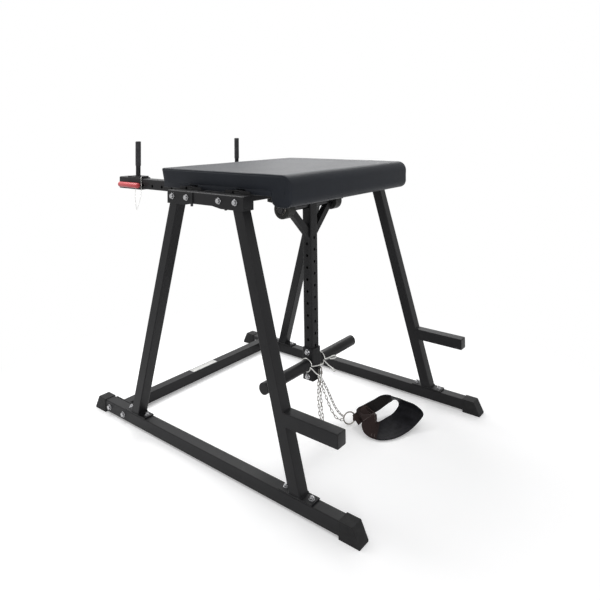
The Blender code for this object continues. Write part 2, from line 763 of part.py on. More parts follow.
def make_cross_tube(name, x, with_mounts, paint):
    """Cross tube between the beams, with end plates, and with the bearing mounts under the front one."""
    z = CROSS_BOTTOM_Z + TUBE / 2
    end = CROSS_END_Y
    tube = square_bar(name, "Y", -end + CROSS_PLATE / 2, end - CROSS_PLATE / 2, (x, z))
    height = TUBE + CROSS_PLATE_DROP - CROSS_PLATE_STEP
    plate_z = CROSS_TOP_Z - CROSS_PLATE_STEP - height / 2
    for sign in (-1, 1):
        low, high = sorted((sign * end, sign * (end - CROSS_PLATE)))
        plate = rounded_rectangle(CROSS_PLATE_LENGTH, height, TUBE_CORNER)
        outline = shift(plate, x + BEAM_BOLT_SHIFT, plate_z)
        weld(tube, prism("end_plate", outline, "Y", low, high))
        if with_mounts:
            weld(tube, make_bearing_mount(x, sign * BEARING_Y))
    centres = [(place_x, BEAM_BOLT_Z) for place_x in beam_bolt_places(x)]
    cut(tube, bores("plate_bores", "Y", -end - CUT, end + CUT, centres, HOLE_BORE_R))
    cut(tube, square_core("cross_core", "Y", -end - CUT, end + CUT, (x, z)))
    stand(tube, (x, 0.0, z))
    dress(tube, paint)


def make_bearing_mount(x, y):
    """Plate that a bearing bolts to, and the stub that carries it under the cross tube."""
    plate_top = CROSS_BOTTOM_Z - BEARING_STUB
    half = BEARING_WIDTH / 2
    plate_half = BEARING_FOOT_LENGTH / 2
    mount = box("mount_plate", (x - plate_half, y - half, plate_top - BEARING_MOUNT),
                (x + plate_half, y + half, plate_top))
    stub_half = BEARING_STUB_LENGTH / 2
    inset = half - BEARING_STUB_INSET
    low = (x - stub_half, y - inset, plate_top - BEARING_MOUNT / 2)
    high = (x + stub_half, y + inset, CROSS_BOTTOM_Z + TUBE_WALL / 2)
    return weld(mount, box("mount_stub", low, high))


def make_housing(side, sign, iron):
    """Pillow block that hangs from its foot."""
    y = sign * BEARING_Y
    foot_bottom = BEARING_HEIGHT - BEARING_FOOT
    start = math.asin(foot_bottom / BEARING_R)
    sweep = math.pi + 2 * start
    foot_half = BEARING_FOOT_LENGTH / 2
    foot_edge = foot_bottom + BEARING_FOOT_EDGE
    outline = [(-foot_half, foot_edge), (-foot_half, BEARING_HEIGHT)]
    outline += [(foot_half, BEARING_HEIGHT), (foot_half, foot_edge)]
    outline.append((BEARING_R + BEARING_SHOULDER, foot_bottom))
    for step in range(ARC_STEPS + 1):
        angle = start - sweep * step / ARC_STEPS
        outline.append((BEARING_R * math.cos(angle), BEARING_R * math.sin(angle)))
    outline.append((-BEARING_R - BEARING_SHOULDER, foot_bottom))
    outline = shift(outline, PIVOT_X, PIVOT_Z)
    half = BEARING_WIDTH / 2
    housing = prism(f"bearing_housing_{side}", outline, "Y", y - half, y + half)
    cut(housing, bores("ring_bore", "Y", y - half - CUT, y + half + CUT, [(PIVOT_X, PIVOT_Z)],
                       RING_R + SPIN_GAP, ROUND_SIDES))
    stand(housing, (PIVOT_X, y, PIVOT_Z))
    dress(housing, iron, smooth=True)


# Pendulum

def make_shaft(axis, steel):
    """Pivot shaft with chamfered ends."""
    profile = (
        (-SHAFT_HALF, SHAFT_R - END_CHAMFER),
        (-SHAFT_HALF + END_CHAMFER, SHAFT_R),
        (SHAFT_HALF - END_CHAMFER, SHAFT_R),
        (SHAFT_HALF, SHAFT_R - END_CHAMFER),
    )
    shaft = turned("pivot_shaft", profile, "Y", (PIVOT_X, PIVOT_Z))
    dress(axis.carry(shaft), steel, smooth=True)


def make_inner_ring(side, sign, axis, steel):
    """Bearing ring that turns with the shaft."""
    y = sign * BEARING_Y
    bore = (SHAFT_R + GAP) / math.cos(math.pi / ROUND_SIDES)
    profile = (
        (y - sign * RING_HALF, bore),
        (y - sign * RING_HALF, RING_R),
        (y + sign * (RING_HALF - END_CHAMFER), RING_R),
        (y + sign * RING_HALF, RING_R - END_CHAMFER),
        (y + sign * RING_HALF, bore),
    )
    ring = turned_ring(f"bearing_ring_{side}", profile, "Y", (PIVOT_X, PIVOT_Z))
    dress(axis.carry(ring), steel, smooth=True)


def side_hole_z(number):
    """Height of a hole in the upright's near and far faces."""
    return HOLE_FIRST_Z + number * HOLE_PITCH


def make_upright(axis, paint):
    """Upright with its rows of holes and two braces that run up to the shaft."""
    upright = square_bar("pendulum_upright", "Z", UPRIGHT_BOTTOM_Z, UPRIGHT_TOP_Z, (PIVOT_X, 0.0))
    for sign in (-1, 1):
        weld(upright, make_brace(sign))
    reach = TUBE / 2 + CUT
    core_ends = (UPRIGHT_BOTTOM_Z - CUT, UPRIGHT_TOP_Z + CUT)
    cut(upright, square_core("upright_core", "Z", *core_ends, (PIVOT_X, 0.0)))
    side_centres = [(PIVOT_X, side_hole_z(i)) for i in range(SIDE_HOLES)]
    cut(upright, bores("side_holes", "Y", -reach, reach, side_centres, HOLE_D / 2 + GAP))
    front_centres = [(0.0, side_hole_z(i + FRONT_HOLE_SKIP) + HOLE_PITCH / 2) for i in range(FRONT_HOLES)]
    cut(upright, bores("front_holes", "X", PIVOT_X - reach, PIVOT_X + reach, front_centres, HOLE_D / 2 + GAP))
    reach = SHAFT_HALF + CUT
    cut(upright, bores("shaft_hole", "Y", -reach, reach, [(PIVOT_X, PIVOT_Z)], SHAFT_R + GAP, ROUND_SIDES))
    dress(axis.carry(upright), paint)


def make_brace(sign):
    """Slanted brace from the upright's side up to the shaft, cut off short of the bearing."""
    end_y = BEARING_Y - RING_HALF - BRACE_END_GAP
    start_y = TUBE / 2 - TUBE_WALL / 2
    foot_z = PIVOT_Z - BRACE_FOOT_DROP
    rise = math.tan(BRACE_ANGLE)
    half = BRACE_TUBE / 2 / math.cos(BRACE_ANGLE)
    low_start = foot_z - half + (start_y - TUBE / 2) * rise
    low_end = foot_z - half + (end_y - TUBE / 2) * rise
    top = PIVOT_Z - SHAFT_R / 2
    top_y = start_y + (top - low_start - 2 * half) / rise
    outline = (
        (sign * start_y, low_start),
        (sign * end_y, low_end),
        (sign * end_y, top),
        (sign * top_y, top),
        (sign * start_y, low_start + 2 * half),
    )
    return prism("brace", outline, "X", PIVOT_X - BRACE_TUBE / 2, PIVOT_X + BRACE_TUBE / 2)


def make_carrier(axis, paint):
    """Sleeve over the upright's lower end, with its bolt holes and the eye for the pull strap."""
    top_z = CARRIER_BOTTOM_Z + CARRIER_HEIGHT
    half = CARRIER_SIDE / 2
    carrier = square_bar("weight_carrier", "Z", CARRIER_BOTTOM_Z, top_z, (PIVOT_X, 0.0), CARRIER_SIDE,
                         CARRIER_CORNER)
    weld(carrier, make_eye())
    room = TUBE + 2 * GAP
    inside = shift(rounded_rectangle(room, room, TUBE_CORNER), PIVOT_X, 0.0)
    cut(carrier, prism("upright_room", inside, "Z", CARRIER_BOTTOM_Z - CUT, top_z + CUT))
    centres = [(PIVOT_X, side_hole_z(i)) for i in CARRIER_BOLT_HOLES]
    cut(carrier, bores("carrier_bores", "Y", -half - CUT, half + CUT, centres, HOLE_BORE_R))
    dress(axis.carry(carrier), paint)


def make_eye():
    """U-shaped rod that stands off the carrier's front."""
    face = PIVOT_X + CARRIER_SIDE / 2 - EYE_WIRE_R
    bend = EYE_HALF / 2
    low = EYE_Y - EYE_HALF
    high = EYE_Y + EYE_HALF
    route = [(face, low, EYE_Z), (EYE_X - bend, low, EYE_Z)]
    for step in range(1, 4):
        angle = math.pi / 2 * step / 3
        route.append((EYE_X - bend + bend * math.sin(angle), low + bend - bend * math.cos(angle), EYE_Z))
    for step in range(0, 3):
        angle = math.pi / 2 * step / 3
        route.append((EYE_X - bend + bend * math.cos(angle), high - bend + bend * math.sin(angle), EYE_Z))
    route += [(EYE_X - bend, high, EYE_Z), (face, high, EYE_Z)]
    return as_mesh(wire("eye", route, EYE_WIRE_R))


def make_upright_bolts(axis, zinc):
    """Bolts through the carrier and the upright, heads on the near side."""
    half = CARRIER_SIDE / 2
    for number, hole in enumerate(CARRIER_BOLT_HOLES, start=1):
        z = side_hole_z(hole)
        bolt = through_bolt(f"upright_bolt_{number}", PIVOT_X, z, -half, half)
        bolt.location = (0.0, 0.0, 0.0)
        bolt.data.transform(Matrix.Translation((PIVOT_X, -half, z)))
        dress(axis.carry(bolt), zinc)


def make_sleeve(side, sign, axis, paint, plastic):
    """Weight sleeve welded to the carrier's side, and its end plug."""
    inner_y = CARRIER_SIDE / 2 + GAP
    outer_y = SLEEVE_END_Y - PLUG_HEAD - GAP
    bore = SLEEVE_R - SLEEVE_WALL
    centre = (PIVOT_X, SLEEVE_Z)
    profile = [(sign * y, radius) for y, radius in
               ((inner_y, bore), (inner_y, SLEEVE_R), (outer_y, SLEEVE_R), (outer_y, bore))]
    sleeve = turned_ring(f"weight_sleeve_{side}", profile, "Y", centre)
    dress(axis.carry(sleeve), paint, smooth=True)
    spigot = bore - GAP
    profile = [(sign * y, radius) for y, radius in
               ((outer_y - PLUG_DEPTH, spigot), (outer_y + GAP, spigot), (outer_y + GAP, SLEEVE_R),
                (SLEEVE_END_Y - END_CHAMFER, SLEEVE_R), (SLEEVE_END_Y, SLEEVE_R - END_CHAMFER))]
    plug = turned(f"sleeve_plug_{side}", profile, "Y", centre)
    dress(axis.carry(plug), plastic, smooth=True)


# Pull strap

def make_snap_ring(axis, steel):
    """Long oval ring that hangs on the carrier's eye."""
    route = []
    steps = 8
    for end, sign in ((SNAP_TOP_Z - SNAP_HALF_WIDTH, 1), (SNAP_BOTTOM_Z + SNAP_HALF_WIDTH, -1)):
        for step in range(steps + 1):
            angle = math.pi * step / steps
            x = EYE_X + sign * SNAP_HALF_WIDTH * math.cos(angle)
            route.append((x, EYE_Y, end + sign * SNAP_HALF_WIDTH * math.sin(angle)))
    dress(axis.carry(wire("snap_ring", route, SNAP_WIRE_R, 1, closed=True)), steel)


def make_chains(axis, steel):
    """Two strands from the snap ring to the strap's ring, and the spare chain that hangs in a loop."""
    start_x = EYE_X + CHAIN_START_SHIFT
    start_z = SNAP_BOTTOM_Z - SNAP_WIRE_R - GAP
    beside = CHAIN_R + GAP
    tail_x = start_x - 2 * CHAIN_R - GAP
    near_top = (start_x, EYE_Y - beside, start_z)
    far_top = (start_x, EYE_Y + beside, start_z)
    tail_tops = [(tail_x, EYE_Y + sign * beside, start_z) for sign in (-1, 1)]
    near = [near_top] + [in_metres(point) for point in CHAIN_NEAR_ROUTE_MM]
    far = [far_top] + [in_metres(point) for point in CHAIN_FAR_ROUTE_MM]
    tail = [tail_tops[0]] + [in_metres(point) for point in CHAIN_TAIL_ROUTE_MM] + [tail_tops[1]]
    for name, points in (("chain_strand_near", near), ("chain_strand_far", far), ("chain_tail", tail)):
        dress(axis.carry(wire(name, smooth_route(points, CHAIN_SPACING), CHAIN_R)), steel)


def make_strap_ring(axis, steel):
    """Round ring that joins the chains to the strap, standing on edge."""
    centre = Vector(RING_CENTRE)
    along = Vector((math.cos(RING_HEADING), math.sin(RING_HEADING), 0.0))
    steps = 16
    route = []
    for step in range(steps):
        angle = 2 * math.pi * step / steps
        route.append(centre + RING_LOOP_R * (math.cos(angle) * along + math.sin(angle) * Vector((0, 0, 1))))
    dress(axis.carry(wire("strap_ring", route, RING_WIRE_R, 1, closed=True)), steel)


def strap_rims():
    """Points along the ankle strap's outer rim and its inner rim, in pairs, as closed smooth loops."""
    rims = []
    for rim in (STRAP_OUTER_RIM_MM, STRAP_INNER_RIM_MM):
        ring = [Vector(in_metres(point)) for point in rim]
        count = len(ring)
        points = []
        for i in range(STRAP_STEPS):
            place_on = i * count / STRAP_STEPS
            k = int(place_on)
            points.append(spline_point([ring[(k + j - 1) % count] for j in range(4)], place_on - k))
        rims.append(points)
    return list(zip(*rims))


def make_ankle_strap(axis, fabric):
    """Padded cuff: webbing that stands on edge at the ring's side, and a wide pad that opens like a bowl."""
    rims = strap_rims()
    middles = [(outer + inner) / 2 for outer, inner in rims]
    out = middles[0] - sum(middles, Vector((0.0, 0.0, 0.0))) / len(middles)
    half = STRAP_WALL / 2
    webbing = (rims[0][0] - rims[0][1]).length
    rings = []
    for i, (outer, inner) in enumerate(rims):
        along = middles[(i + 1) % len(rims)] - middles[i - 1]
        normal = along.cross(inner - outer).normalized()
        out = -normal if normal.dot(out) < 0 else normal
        bow = STRAP_BULGE * min(1.0, max(0.0, (outer - inner).length / webbing - 1.0))
        rings.append([
            outer - half * out, outer + half * out, middles[i] + (bow + half) * out,
            inner + half * out, inner - half * out, middles[i] + (bow - half) * out,
        ])
    strap = weld(loop_loft("ankle_strap", rings), make_strap_tab())
    dress(axis.carry(strap), fabric, smooth=True)


def make_strap_tab():
    """Stitched webbing that loops through the ring and runs into the band."""
    along = Vector((math.cos(RING_HEADING), math.sin(RING_HEADING)))
    across = Vector((-along.y, along.x))
    rim = Vector(RING_CENTRE[:2]) + RING_LOOP_R * along
    half = STRAP_TAB_HEIGHT / 2
    upright_reach = math.sqrt(RING_LOOP_R ** 2 - half ** 2)
    back = upright_reach - RING_LOOP_R - RING_WIRE_R * RING_LOOP_R / upright_reach - GAP
    front = RING_WIRE_R + GAP
    side = RING_WIRE_R + GAP
    web = STRAP_TAB_WEB

    def outline(first, last, wide):
        corners = ((first, -wide), (last, -wide), (last, wide), (first, wide))
        return [tuple(rim + a * along + b * across) for a, b in corners]

    outer = outline(back - web, STRAP_TAB_REACH, side + web)
    inner = outline(back, front, side)
    return pipe("strap_tab", outer, inner, "Z", RING_CENTRE[2] - half, RING_CENTRE[2] + half)


# Pad

def pad_outline(inset):
    """Pad section seen from the side, drawn in by an inset: flat underside, rounded nose."""
    points = []
    rear = PAD_REAR_X + inset
    front = PAD_FRONT_X - inset
    top = PAD_TOP_Z - inset
    nose_bottom = PAD_BOTTOM_Z - PAD_NOSE_DROP + inset
    nose_back = PAD_NOSE_BACK_X + inset
    bottom = PAD_BOTTOM_Z + inset
    points.append((rear + PAD_DRAW_IN, bottom))
    for step in range(4):
        angle = math.pi - math.pi / 2 * step / 3
        points.append((rear + PAD_EDGE_R + PAD_EDGE_R * math.cos(angle),
                       top - PAD_EDGE_R + PAD_EDGE_R * math.sin(angle)))
    crown_steps = 6
    start = rear + PAD_EDGE_R
    end = front - PAD_NOSE_R
    for step in range(1, crown_steps):
        points.append((start + (end - start) * step / crown_steps, top))
    for step in range(6):
        angle = math.pi / 2 - math.pi / 2 * step / 5
        points.append((end + PAD_NOSE_R * math.cos(angle), top - PAD_NOSE_R + PAD_NOSE_R * math.sin(angle)))
    for radius, middle_x, turn, steps in ((PAD_NOSE_LOW_R, front - PAD_NOSE_LOW_R, 0.0, 4),
                                          (PAD_NOSE_BACK_R, nose_back + PAD_NOSE_BACK_R, -math.pi / 2, 2)):
        for step in range(steps + 1):
            angle = turn - math.pi / 2 * step / steps
            z = nose_bottom + radius + radius * math.sin(angle)
            points.append((middle_x + radius * math.cos(angle), z))
    points.append((nose_back, bottom))
    return points


def make_cushion(vinyl):
    """Pad with a crowned top, rounded edges, sides that lean in and a nose that turns down at the front."""
    edge_steps = 3
    stations = []
    for step in range(edge_steps + 1):
        angle = math.pi / 2 * step / edge_steps
        y = PAD_HALF_WIDTH - PAD_EDGE_R + PAD_EDGE_R * math.sin(angle)
        stations.append((y, PAD_EDGE_R * (1 - math.cos(angle))))
    inner_stations = [(PAD_HALF_WIDTH * share, 0.0) for share in (-0.8, -0.4, 0.0, 0.4, 0.8)]
    stations = [(-y, inset) for y, inset in reversed(stations)] + inner_stations + stations
    rings = []
    for y, inset in stations:
        ring = []
        for x, z in pad_outline(inset):
            height = (z - PAD_BOTTOM_Z) / (PAD_TOP_Z - PAD_BOTTOM_Z)
            across = 1 - (y / PAD_HALF_WIDTH) ** 2
            along = max(0.0, 1 - (2 * (x - PAD_REAR_X) / (PAD_FRONT_X - PAD_REAR_X) - 1) ** 2)
            crown = PAD_CROWN * across * along * max(0.0, height) ** 4
            lean = 1 - PAD_DRAW_IN / PAD_HALF_WIDTH * min(1.0, max(0.0, 1 - height))
            ring.append(Vector((x, y * lean, z + crown)))
        rings.append(ring)
    cushion = loft("pad_cushion", rings)
    for sign in (-1, 1):
        weld(cushion, make_skirt(sign))
    room = BOARD_INSET - GAP
    low = (PAD_REAR_X + room, -PAD_HALF_WIDTH + room, PAD_BOTTOM_Z - CUT)
    high = (PAD_NOSE_BACK_X - BOARD_INSET + GAP, PAD_HALF_WIDTH - room, PAD_BOTTOM_Z + BOARD + GAP)
    cut(cushion, box("board_room", low, high))
    stand(cushion, (0.0, 0.0, PAD_BOTTOM_Z))
    dress(cushion, vinyl, smooth=True)


def make_skirt(sign):
    """Lower edge of a side panel, which hangs below the pad's underside and is notched over the cross tubes."""
    inside = 1 * MM
    rear = PAD_REAR_X + PAD_DRAW_IN + inside
    low = PAD_BOTTOM_Z - PAD_SKIRT
    notch = TUBE / 2 + GAP
    outline = [(rear, low)]
    for x in (REAR_CROSS_X, PIVOT_X):
        outline += [(x - notch, low), (x - notch, PAD_BOTTOM_Z + inside),
                    (x + notch, PAD_BOTTOM_Z + inside), (x + notch, low)]
    outline += [(PAD_NOSE_BACK_X + inside, low), (PAD_NOSE_BACK_X + inside, PAD_BOTTOM_Z + 4 * inside),
                (rear, PAD_BOTTOM_Z + 4 * inside)]
    outer = PAD_HALF_WIDTH - PAD_DRAW_IN - PAD_SKIRT_INSET
    start, end = sorted((sign * outer, sign * (outer - PAD_SKIRT_WALL)))
    return prism("skirt", outline, "Y", start, end)


def make_board(wood):
    """Plywood board that lies on the cross tubes and the handle tubes."""
    low = (PAD_REAR_X + BOARD_INSET, -PAD_HALF_WIDTH + BOARD_INSET, PAD_BOTTOM_Z)
    high = (PAD_NOSE_BACK_X - BOARD_INSET, PAD_HALF_WIDTH - BOARD_INSET, PAD_BOTTOM_Z + BOARD)
    board = stand(box("pad_board", low, high), (0.0, 0.0, PAD_BOTTOM_Z))
    dress(board, wood)


# Handles

def make_handle_tube(side, sign, paint):
    """Tube that carries a handle, with its row of pin holes."""
    y = sign * HANDLE_Y
    end_x = REAR_CROSS_X - TUBE / 2 - GAP
    tube = square_tube(f"handle_tube_{side}", "X", HANDLE_REAR_X, end_x, (y, HANDLE_Z))
    centres = [(POST_X + (i - HANDLE_HOLES_BEHIND) * HANDLE_HOLE_PITCH, PIN_Z) for i in range(HANDLE_HOLES)]
    reach = TUBE / 2 + CUT
    cut(tube, bores("handle_holes", "Y", y - reach, y + reach, centres, HANDLE_HOLE_D / 2))
    stand(tube, (HANDLE_REAR_X, y, HANDLE_Z))
    dress(tube, paint)


def make_carriage(side, sign, axis, paint):
    """Sleeve that slides on the handle tube, with the plate and the post on top."""
    y = sign * HANDLE_Y
    front_x = CARRIAGE_REAR_X + CARRIAGE_LENGTH
    top_z = HANDLE_Z + CARRIAGE_SIDE / 2
    carriage = square_bar(f"handle_carriage_{side}", "X", CARRIAGE_REAR_X, front_x, (y, HANDLE_Z),
                          CARRIAGE_SIDE, CARRIER_CORNER)
    plate_low = (POST_X - POST_PLATE_LENGTH / 2, y - POST_PLATE_WIDTH / 2, top_z - POST_PLATE / 2)
    plate_high = (POST_X + POST_PLATE_LENGTH / 2, y + POST_PLATE_WIDTH / 2, top_z + POST_PLATE)
    weld(carriage, box("post_plate", plate_low, plate_high))
    plate_end = POST_X + POST_PLATE_LENGTH / 2
    tab_low = (plate_end - POST_PLATE / 2, y - POST_TAB_WIDTH / 2, top_z + POST_PLATE / 4)
    tab_high = (plate_end + POST_TAB, y + POST_TAB_WIDTH / 2, top_z + 0.8 * POST_PLATE)
    weld(carriage, box("tab", tab_low, tab_high))
    post_top = GRIP_TOP_Z - GRIP_TIP - GAP
    post = prism("post", shift(circle(POST_R, POST_SIDES), POST_X, y), "Z", top_z + POST_PLATE / 2, post_top)
    weld(carriage, post)
    room = TUBE + 2 * SLIDE_GAP
    inside = shift(rounded_rectangle(room, room, TUBE_CORNER), y, HANDLE_Z)
    cut(carriage, prism("tube_room", inside, "X", CARRIAGE_REAR_X - CUT, front_x + CUT))
    low_y, high_y = sorted((sign * HANDLE_Y, sign * (CARRIAGE_FACE_Y + CUT)))
    cut(carriage, bores("pin_bore", "Y", low_y, high_y, [(POST_X, PIN_Z)], PIN_R + GAP))
    dress(axis.carry(carriage), paint)


def make_grip(side, sign, axis, rubber):
    """Rubber grip over the post, closed at its top."""
    y = sign * HANDLE_Y
    bottom = GRIP_TOP_Z - GRIP_LENGTH
    profile = (
        (bottom, GRIP_R - GRIP_CUFF),
        (bottom + 4 * GRIP_CUFF, GRIP_R),
        (GRIP_TOP_Z - GRIP_EDGE, GRIP_R),
        (GRIP_TOP_Z - GRIP_EDGE / 4, GRIP_R - GRIP_EDGE / 2),
        (GRIP_TOP_Z, GRIP_R - 2 * GRIP_EDGE),
    )
    grip = turned(f"handle_grip_{side}", profile, "Z", (POST_X, y), POST_SIDES)
    bore = shift(circle(POST_R + GAP, POST_SIDES), POST_X, y)
    cut(grip, prism("post_bore", bore, "Z", bottom - CUT, GRIP_TOP_Z - GRIP_TIP))
    dress(axis.carry(grip), rubber, smooth=True)


def make_pin(side, sign, axis, red):
    """Pull pin with its T bar. At rest its tip stands just clear of the handle tube."""
    tip_y = sign * (HANDLE_FACE_Y + GAP)
    bar_y = sign * T_BAR_Y
    profile = (
        (T_BAR_REAR_X, T_BAR_R - T_BAR_EDGE),
        (T_BAR_REAR_X + T_BAR_EDGE, T_BAR_R),
        (T_BAR_FRONT_X - T_BAR_EDGE, T_BAR_R),
        (T_BAR_FRONT_X, T_BAR_R - T_BAR_EDGE),
    )
    bar = turned(f"pull_pin_{side}", profile, "X", (bar_y, PIN_Z), POST_SIDES)
    weld(bar, prism("pin", shift(circle(PIN_R, BOLT_SIDES), POST_X, PIN_Z), "Y", tip_y, bar_y))
    dress(axis.carry(bar), red, smooth=True)


def make_lanyard(side, sign, axis, steel):
    """Thin wire from the T bar down in a loop and up to the carriage's tab."""
    bar_y = sign * T_BAR_Y
    tab_x = POST_X + POST_PLATE_LENGTH / 2 + POST_TAB / 2
    tab_y = sign * (HANDLE_Y + POST_TAB_WIDTH / 2 + 2 * GAP)
    corner_y = sign * (CARRIAGE_FACE_Y - LANYARD_STANDOFF)
    front_x = CARRIAGE_REAR_X + CARRIAGE_LENGTH
    start_z = PIN_Z - T_BAR_R - GAP
    end_z = HANDLE_Z + CARRIAGE_SIDE / 2 + POST_PLATE / 2
    middle_x = (LANYARD_PIN_X + LANYARD_TAB_X) / 2
    side_y = sign * (CARRIAGE_FACE_Y + LANYARD_STANDOFF)
    points = [
        (LANYARD_PIN_X, bar_y, start_z),
        (LANYARD_PIN_X - 2 * MM, bar_y, start_z - 45 * MM),
        (LANYARD_PIN_X + 4 * MM, bar_y, LANYARD_DIP_Z + 18 * MM),
        (middle_x, bar_y, LANYARD_DIP_Z),
        (LANYARD_TAB_X - 3 * MM, bar_y, LANYARD_DIP_Z + 22 * MM),
        (LANYARD_TAB_X, side_y, PIN_Z - 50 * MM),
        (LANYARD_TAB_X + 2 * MM, side_y, HANDLE_Z),
        (LANYARD_TAB_X + 1 * MM, side_y, end_z - 2 * LANYARD_STANDOFF),
        (front_x, corner_y, end_z + 1 * MM),
        (tab_x, tab_y, end_z),
    ]
    lanyard = wire(f"pin_lanyard_{side}", smooth_route(points, LANYARD_SPACING), LANYARD_R, 1)
    dress(axis.carry(lanyard), steel)


# Spring clips

def make_clip(name, y, axis, steel):
    """Wire bent once round the sleeve, with a straight end and an end that folds back as a grip."""
    def on_loop(degrees, along):
        angle = math.radians(degrees)
        radial = Vector((math.cos(angle), 0.0, math.sin(angle)))
        return Vector((PIVOT_X, along, SLEEVE_Z)) + CLIP_LOOP_R * radial

    pitch = 4 * CLIP_WIRE_R
    first = on_loop(0, y + pitch)
    last = on_loop(-6, y)
    route = [first + Vector(in_metres(offset)) for offset in (CLIP_STRAIGHT_END_MM, CLIP_STRAIGHT_BEND_MM)]
    turn_steps = 22
    for step in range(turn_steps + 1):
        share = step / turn_steps
        route.append(on_loop(354 * share, y + pitch * (1 - share)))
    tip = last + Vector(in_metres(CLIP_GRIP_TIP_MM))
    heading = (tip - last).normalized()
    across = Vector((-heading.z, 0.0, heading.x)).normalized()
    route.append(last + 0.45 * (tip - last))
    for share, sideways in CLIP_GRIP:
        route.append(last + share * (tip - last) + CLIP_GRIP_HALF * sideways * across)
    dress(axis.carry(wire(name, route, CLIP_WIRE_R, 1)), steel)


def main():
    """Build every part."""
    clear_scene()
    paint = make_material("black_powder_coat", (0.018, 0.018, 0.02), 0.45)
    rubber = make_material("black_rubber", (0.02, 0.02, 0.021), 0.8)
    plastic = make_material("black_plastic", (0.016, 0.016, 0.017), 0.5)
    zinc = make_material("zinc_plate", (0.62, 0.62, 0.6), 0.35, 1.0)
    steel = make_material("bright_steel", (0.58, 0.57, 0.55), 0.3, 1.0)
    iron = make_material("painted_cast_iron", (0.03, 0.03, 0.032), 0.55)
    vinyl = make_material("black_vinyl", (0.022, 0.023, 0.026), 0.42)
    wood = make_material("birch_plywood", (0.55, 0.4, 0.25), 0.7)
    fabric = make_material("dark_webbing", (0.03, 0.022, 0.02), 0.9)
    red = make_material("red_plastic", (0.55, 0.03, 0.035), 0.4)

    make_crossmember(paint)
    make_cross_tube("rear_cross_tube", REAR_CROSS_X, False, paint)
    make_cross_tube("front_cross_tube", PIVOT_X, True, paint)
    make_board(wood)
    make_cushion(vinyl)

    swing = Axis("pendulum_axis", (PIVOT_X, 0.0, PIVOT_Z))
    hook = Axis("strap_axis", (EYE_X, EYE_Y, EYE_Z), swing)
    make_shaft(swing, steel)
    make_upright(swing, paint)
    make_carrier(swing, paint)
    make_upright_bolts(swing, zinc)
    make_snap_ring(hook, steel)
    make_chains(hook, steel)
    make_strap_ring(hook, steel)
    make_ankle_strap(hook, fabric)

    for side, sign in SIDES:
        make_rail(side, sign, paint)
        make_foot(f"rear_foot_{side}", RAIL_REAR_X, -1, sign * TRACK_HALF, rubber)
        make_foot(f"front_foot_{side}", RAIL_FRONT_X, 1, sign * TRACK_HALF, rubber)
        make_rail_bolts(side, sign, zinc)
        make_legs(side, sign, paint)
        make_beam(side, sign, paint)
        make_beam_bolts(side, sign, zinc)
        make_housing(side, sign, iron)
        make_handle_tube(side, sign, paint)
        make_inner_ring(side, sign, swing, steel)
        make_sleeve(side, sign, swing, paint, plastic)
        handle = Axis(f"handle_axis_{side}", (POST_X, sign * HANDLE_Y, HANDLE_Z))
        pin = Axis(f"pin_axis_{side}", (POST_X, sign * T_BAR_Y, PIN_Z), handle)
        make_carriage(side, sign, handle, paint)
        make_grip(side, sign, handle, rubber)
        make_lanyard(side, sign, handle, steel)
        make_pin(side, sign, pin, red)

    for side, y in (("near", CLIP_NEAR_Y), ("far", CLIP_FAR_Y)):
        clip = Axis(f"clip_axis_{side}", (PIVOT_X, y, SLEEVE_Z), swing)
        make_clip(f"spring_clip_{side}", y, clip, steel)


main()
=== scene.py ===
"""Looks, light and camera of a reverse hyperextension machine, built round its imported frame.

Metres, +X from the handles to the side where the legs swing, -Y the near side, +Z up.
"""

from __future__ import annotations

import logging
import math
from collections.abc import Mapping, Sequence
from dataclasses import dataclass, replace
from typing import Any, ClassVar

import bmesh
import bpy
import numpy as np
from mathutils import Matrix, Vector

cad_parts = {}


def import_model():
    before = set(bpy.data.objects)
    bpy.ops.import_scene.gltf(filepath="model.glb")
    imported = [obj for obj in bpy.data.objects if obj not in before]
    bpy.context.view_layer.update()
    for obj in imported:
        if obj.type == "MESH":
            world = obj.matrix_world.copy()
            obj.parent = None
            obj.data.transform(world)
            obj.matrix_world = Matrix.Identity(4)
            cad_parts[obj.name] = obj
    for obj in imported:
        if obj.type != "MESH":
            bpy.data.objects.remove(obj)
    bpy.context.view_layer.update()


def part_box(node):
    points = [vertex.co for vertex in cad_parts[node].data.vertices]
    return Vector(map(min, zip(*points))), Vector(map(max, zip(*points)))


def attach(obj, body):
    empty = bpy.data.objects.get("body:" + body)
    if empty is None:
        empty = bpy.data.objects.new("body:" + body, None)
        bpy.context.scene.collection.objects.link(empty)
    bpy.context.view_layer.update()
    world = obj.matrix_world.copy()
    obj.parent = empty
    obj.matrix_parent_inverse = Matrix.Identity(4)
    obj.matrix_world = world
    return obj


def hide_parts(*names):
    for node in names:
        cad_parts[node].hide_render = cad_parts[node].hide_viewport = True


LOG = logging.getLogger("machine")
MM = 0.001
SIDES = (("near", -1), ("far", 1))
FRAME, PENDULUM, STRAP = "frame", "pendulum", "strap"
WHITE = (1.0, 1.0, 1.0, 1.0)
X_WAY, Y_WAY, Z_WAY = np.eye(3)
TRACK = 0.515
TUBE_HALF = 25 * MM
PIVOT_X, PIVOT_Z = 0.177, 0.994
HANDLE_Y = 0.356
PIN_X, BAR_Y = -0.660, 0.4033
SLEEVE_Z = 0.265
EYE_X, EYE_Y = 0.221, 0.006
RING_CENTRE, RING_RADIUS, RING_HEADING = (0.336, 0.070, 0.031), 27.0 * MM, math.radians(52.0)
RING_WAY = np.array([math.cos(RING_HEADING), math.sin(RING_HEADING), 0.0])
Array = np.ndarray
Colour = tuple[float, float, float]
Point = tuple[float, float, float]
Pair = tuple[float, float]
Pairs = tuple[Pair, ...]
Points = tuple[Point, ...]


# Shapes worked out as arrays


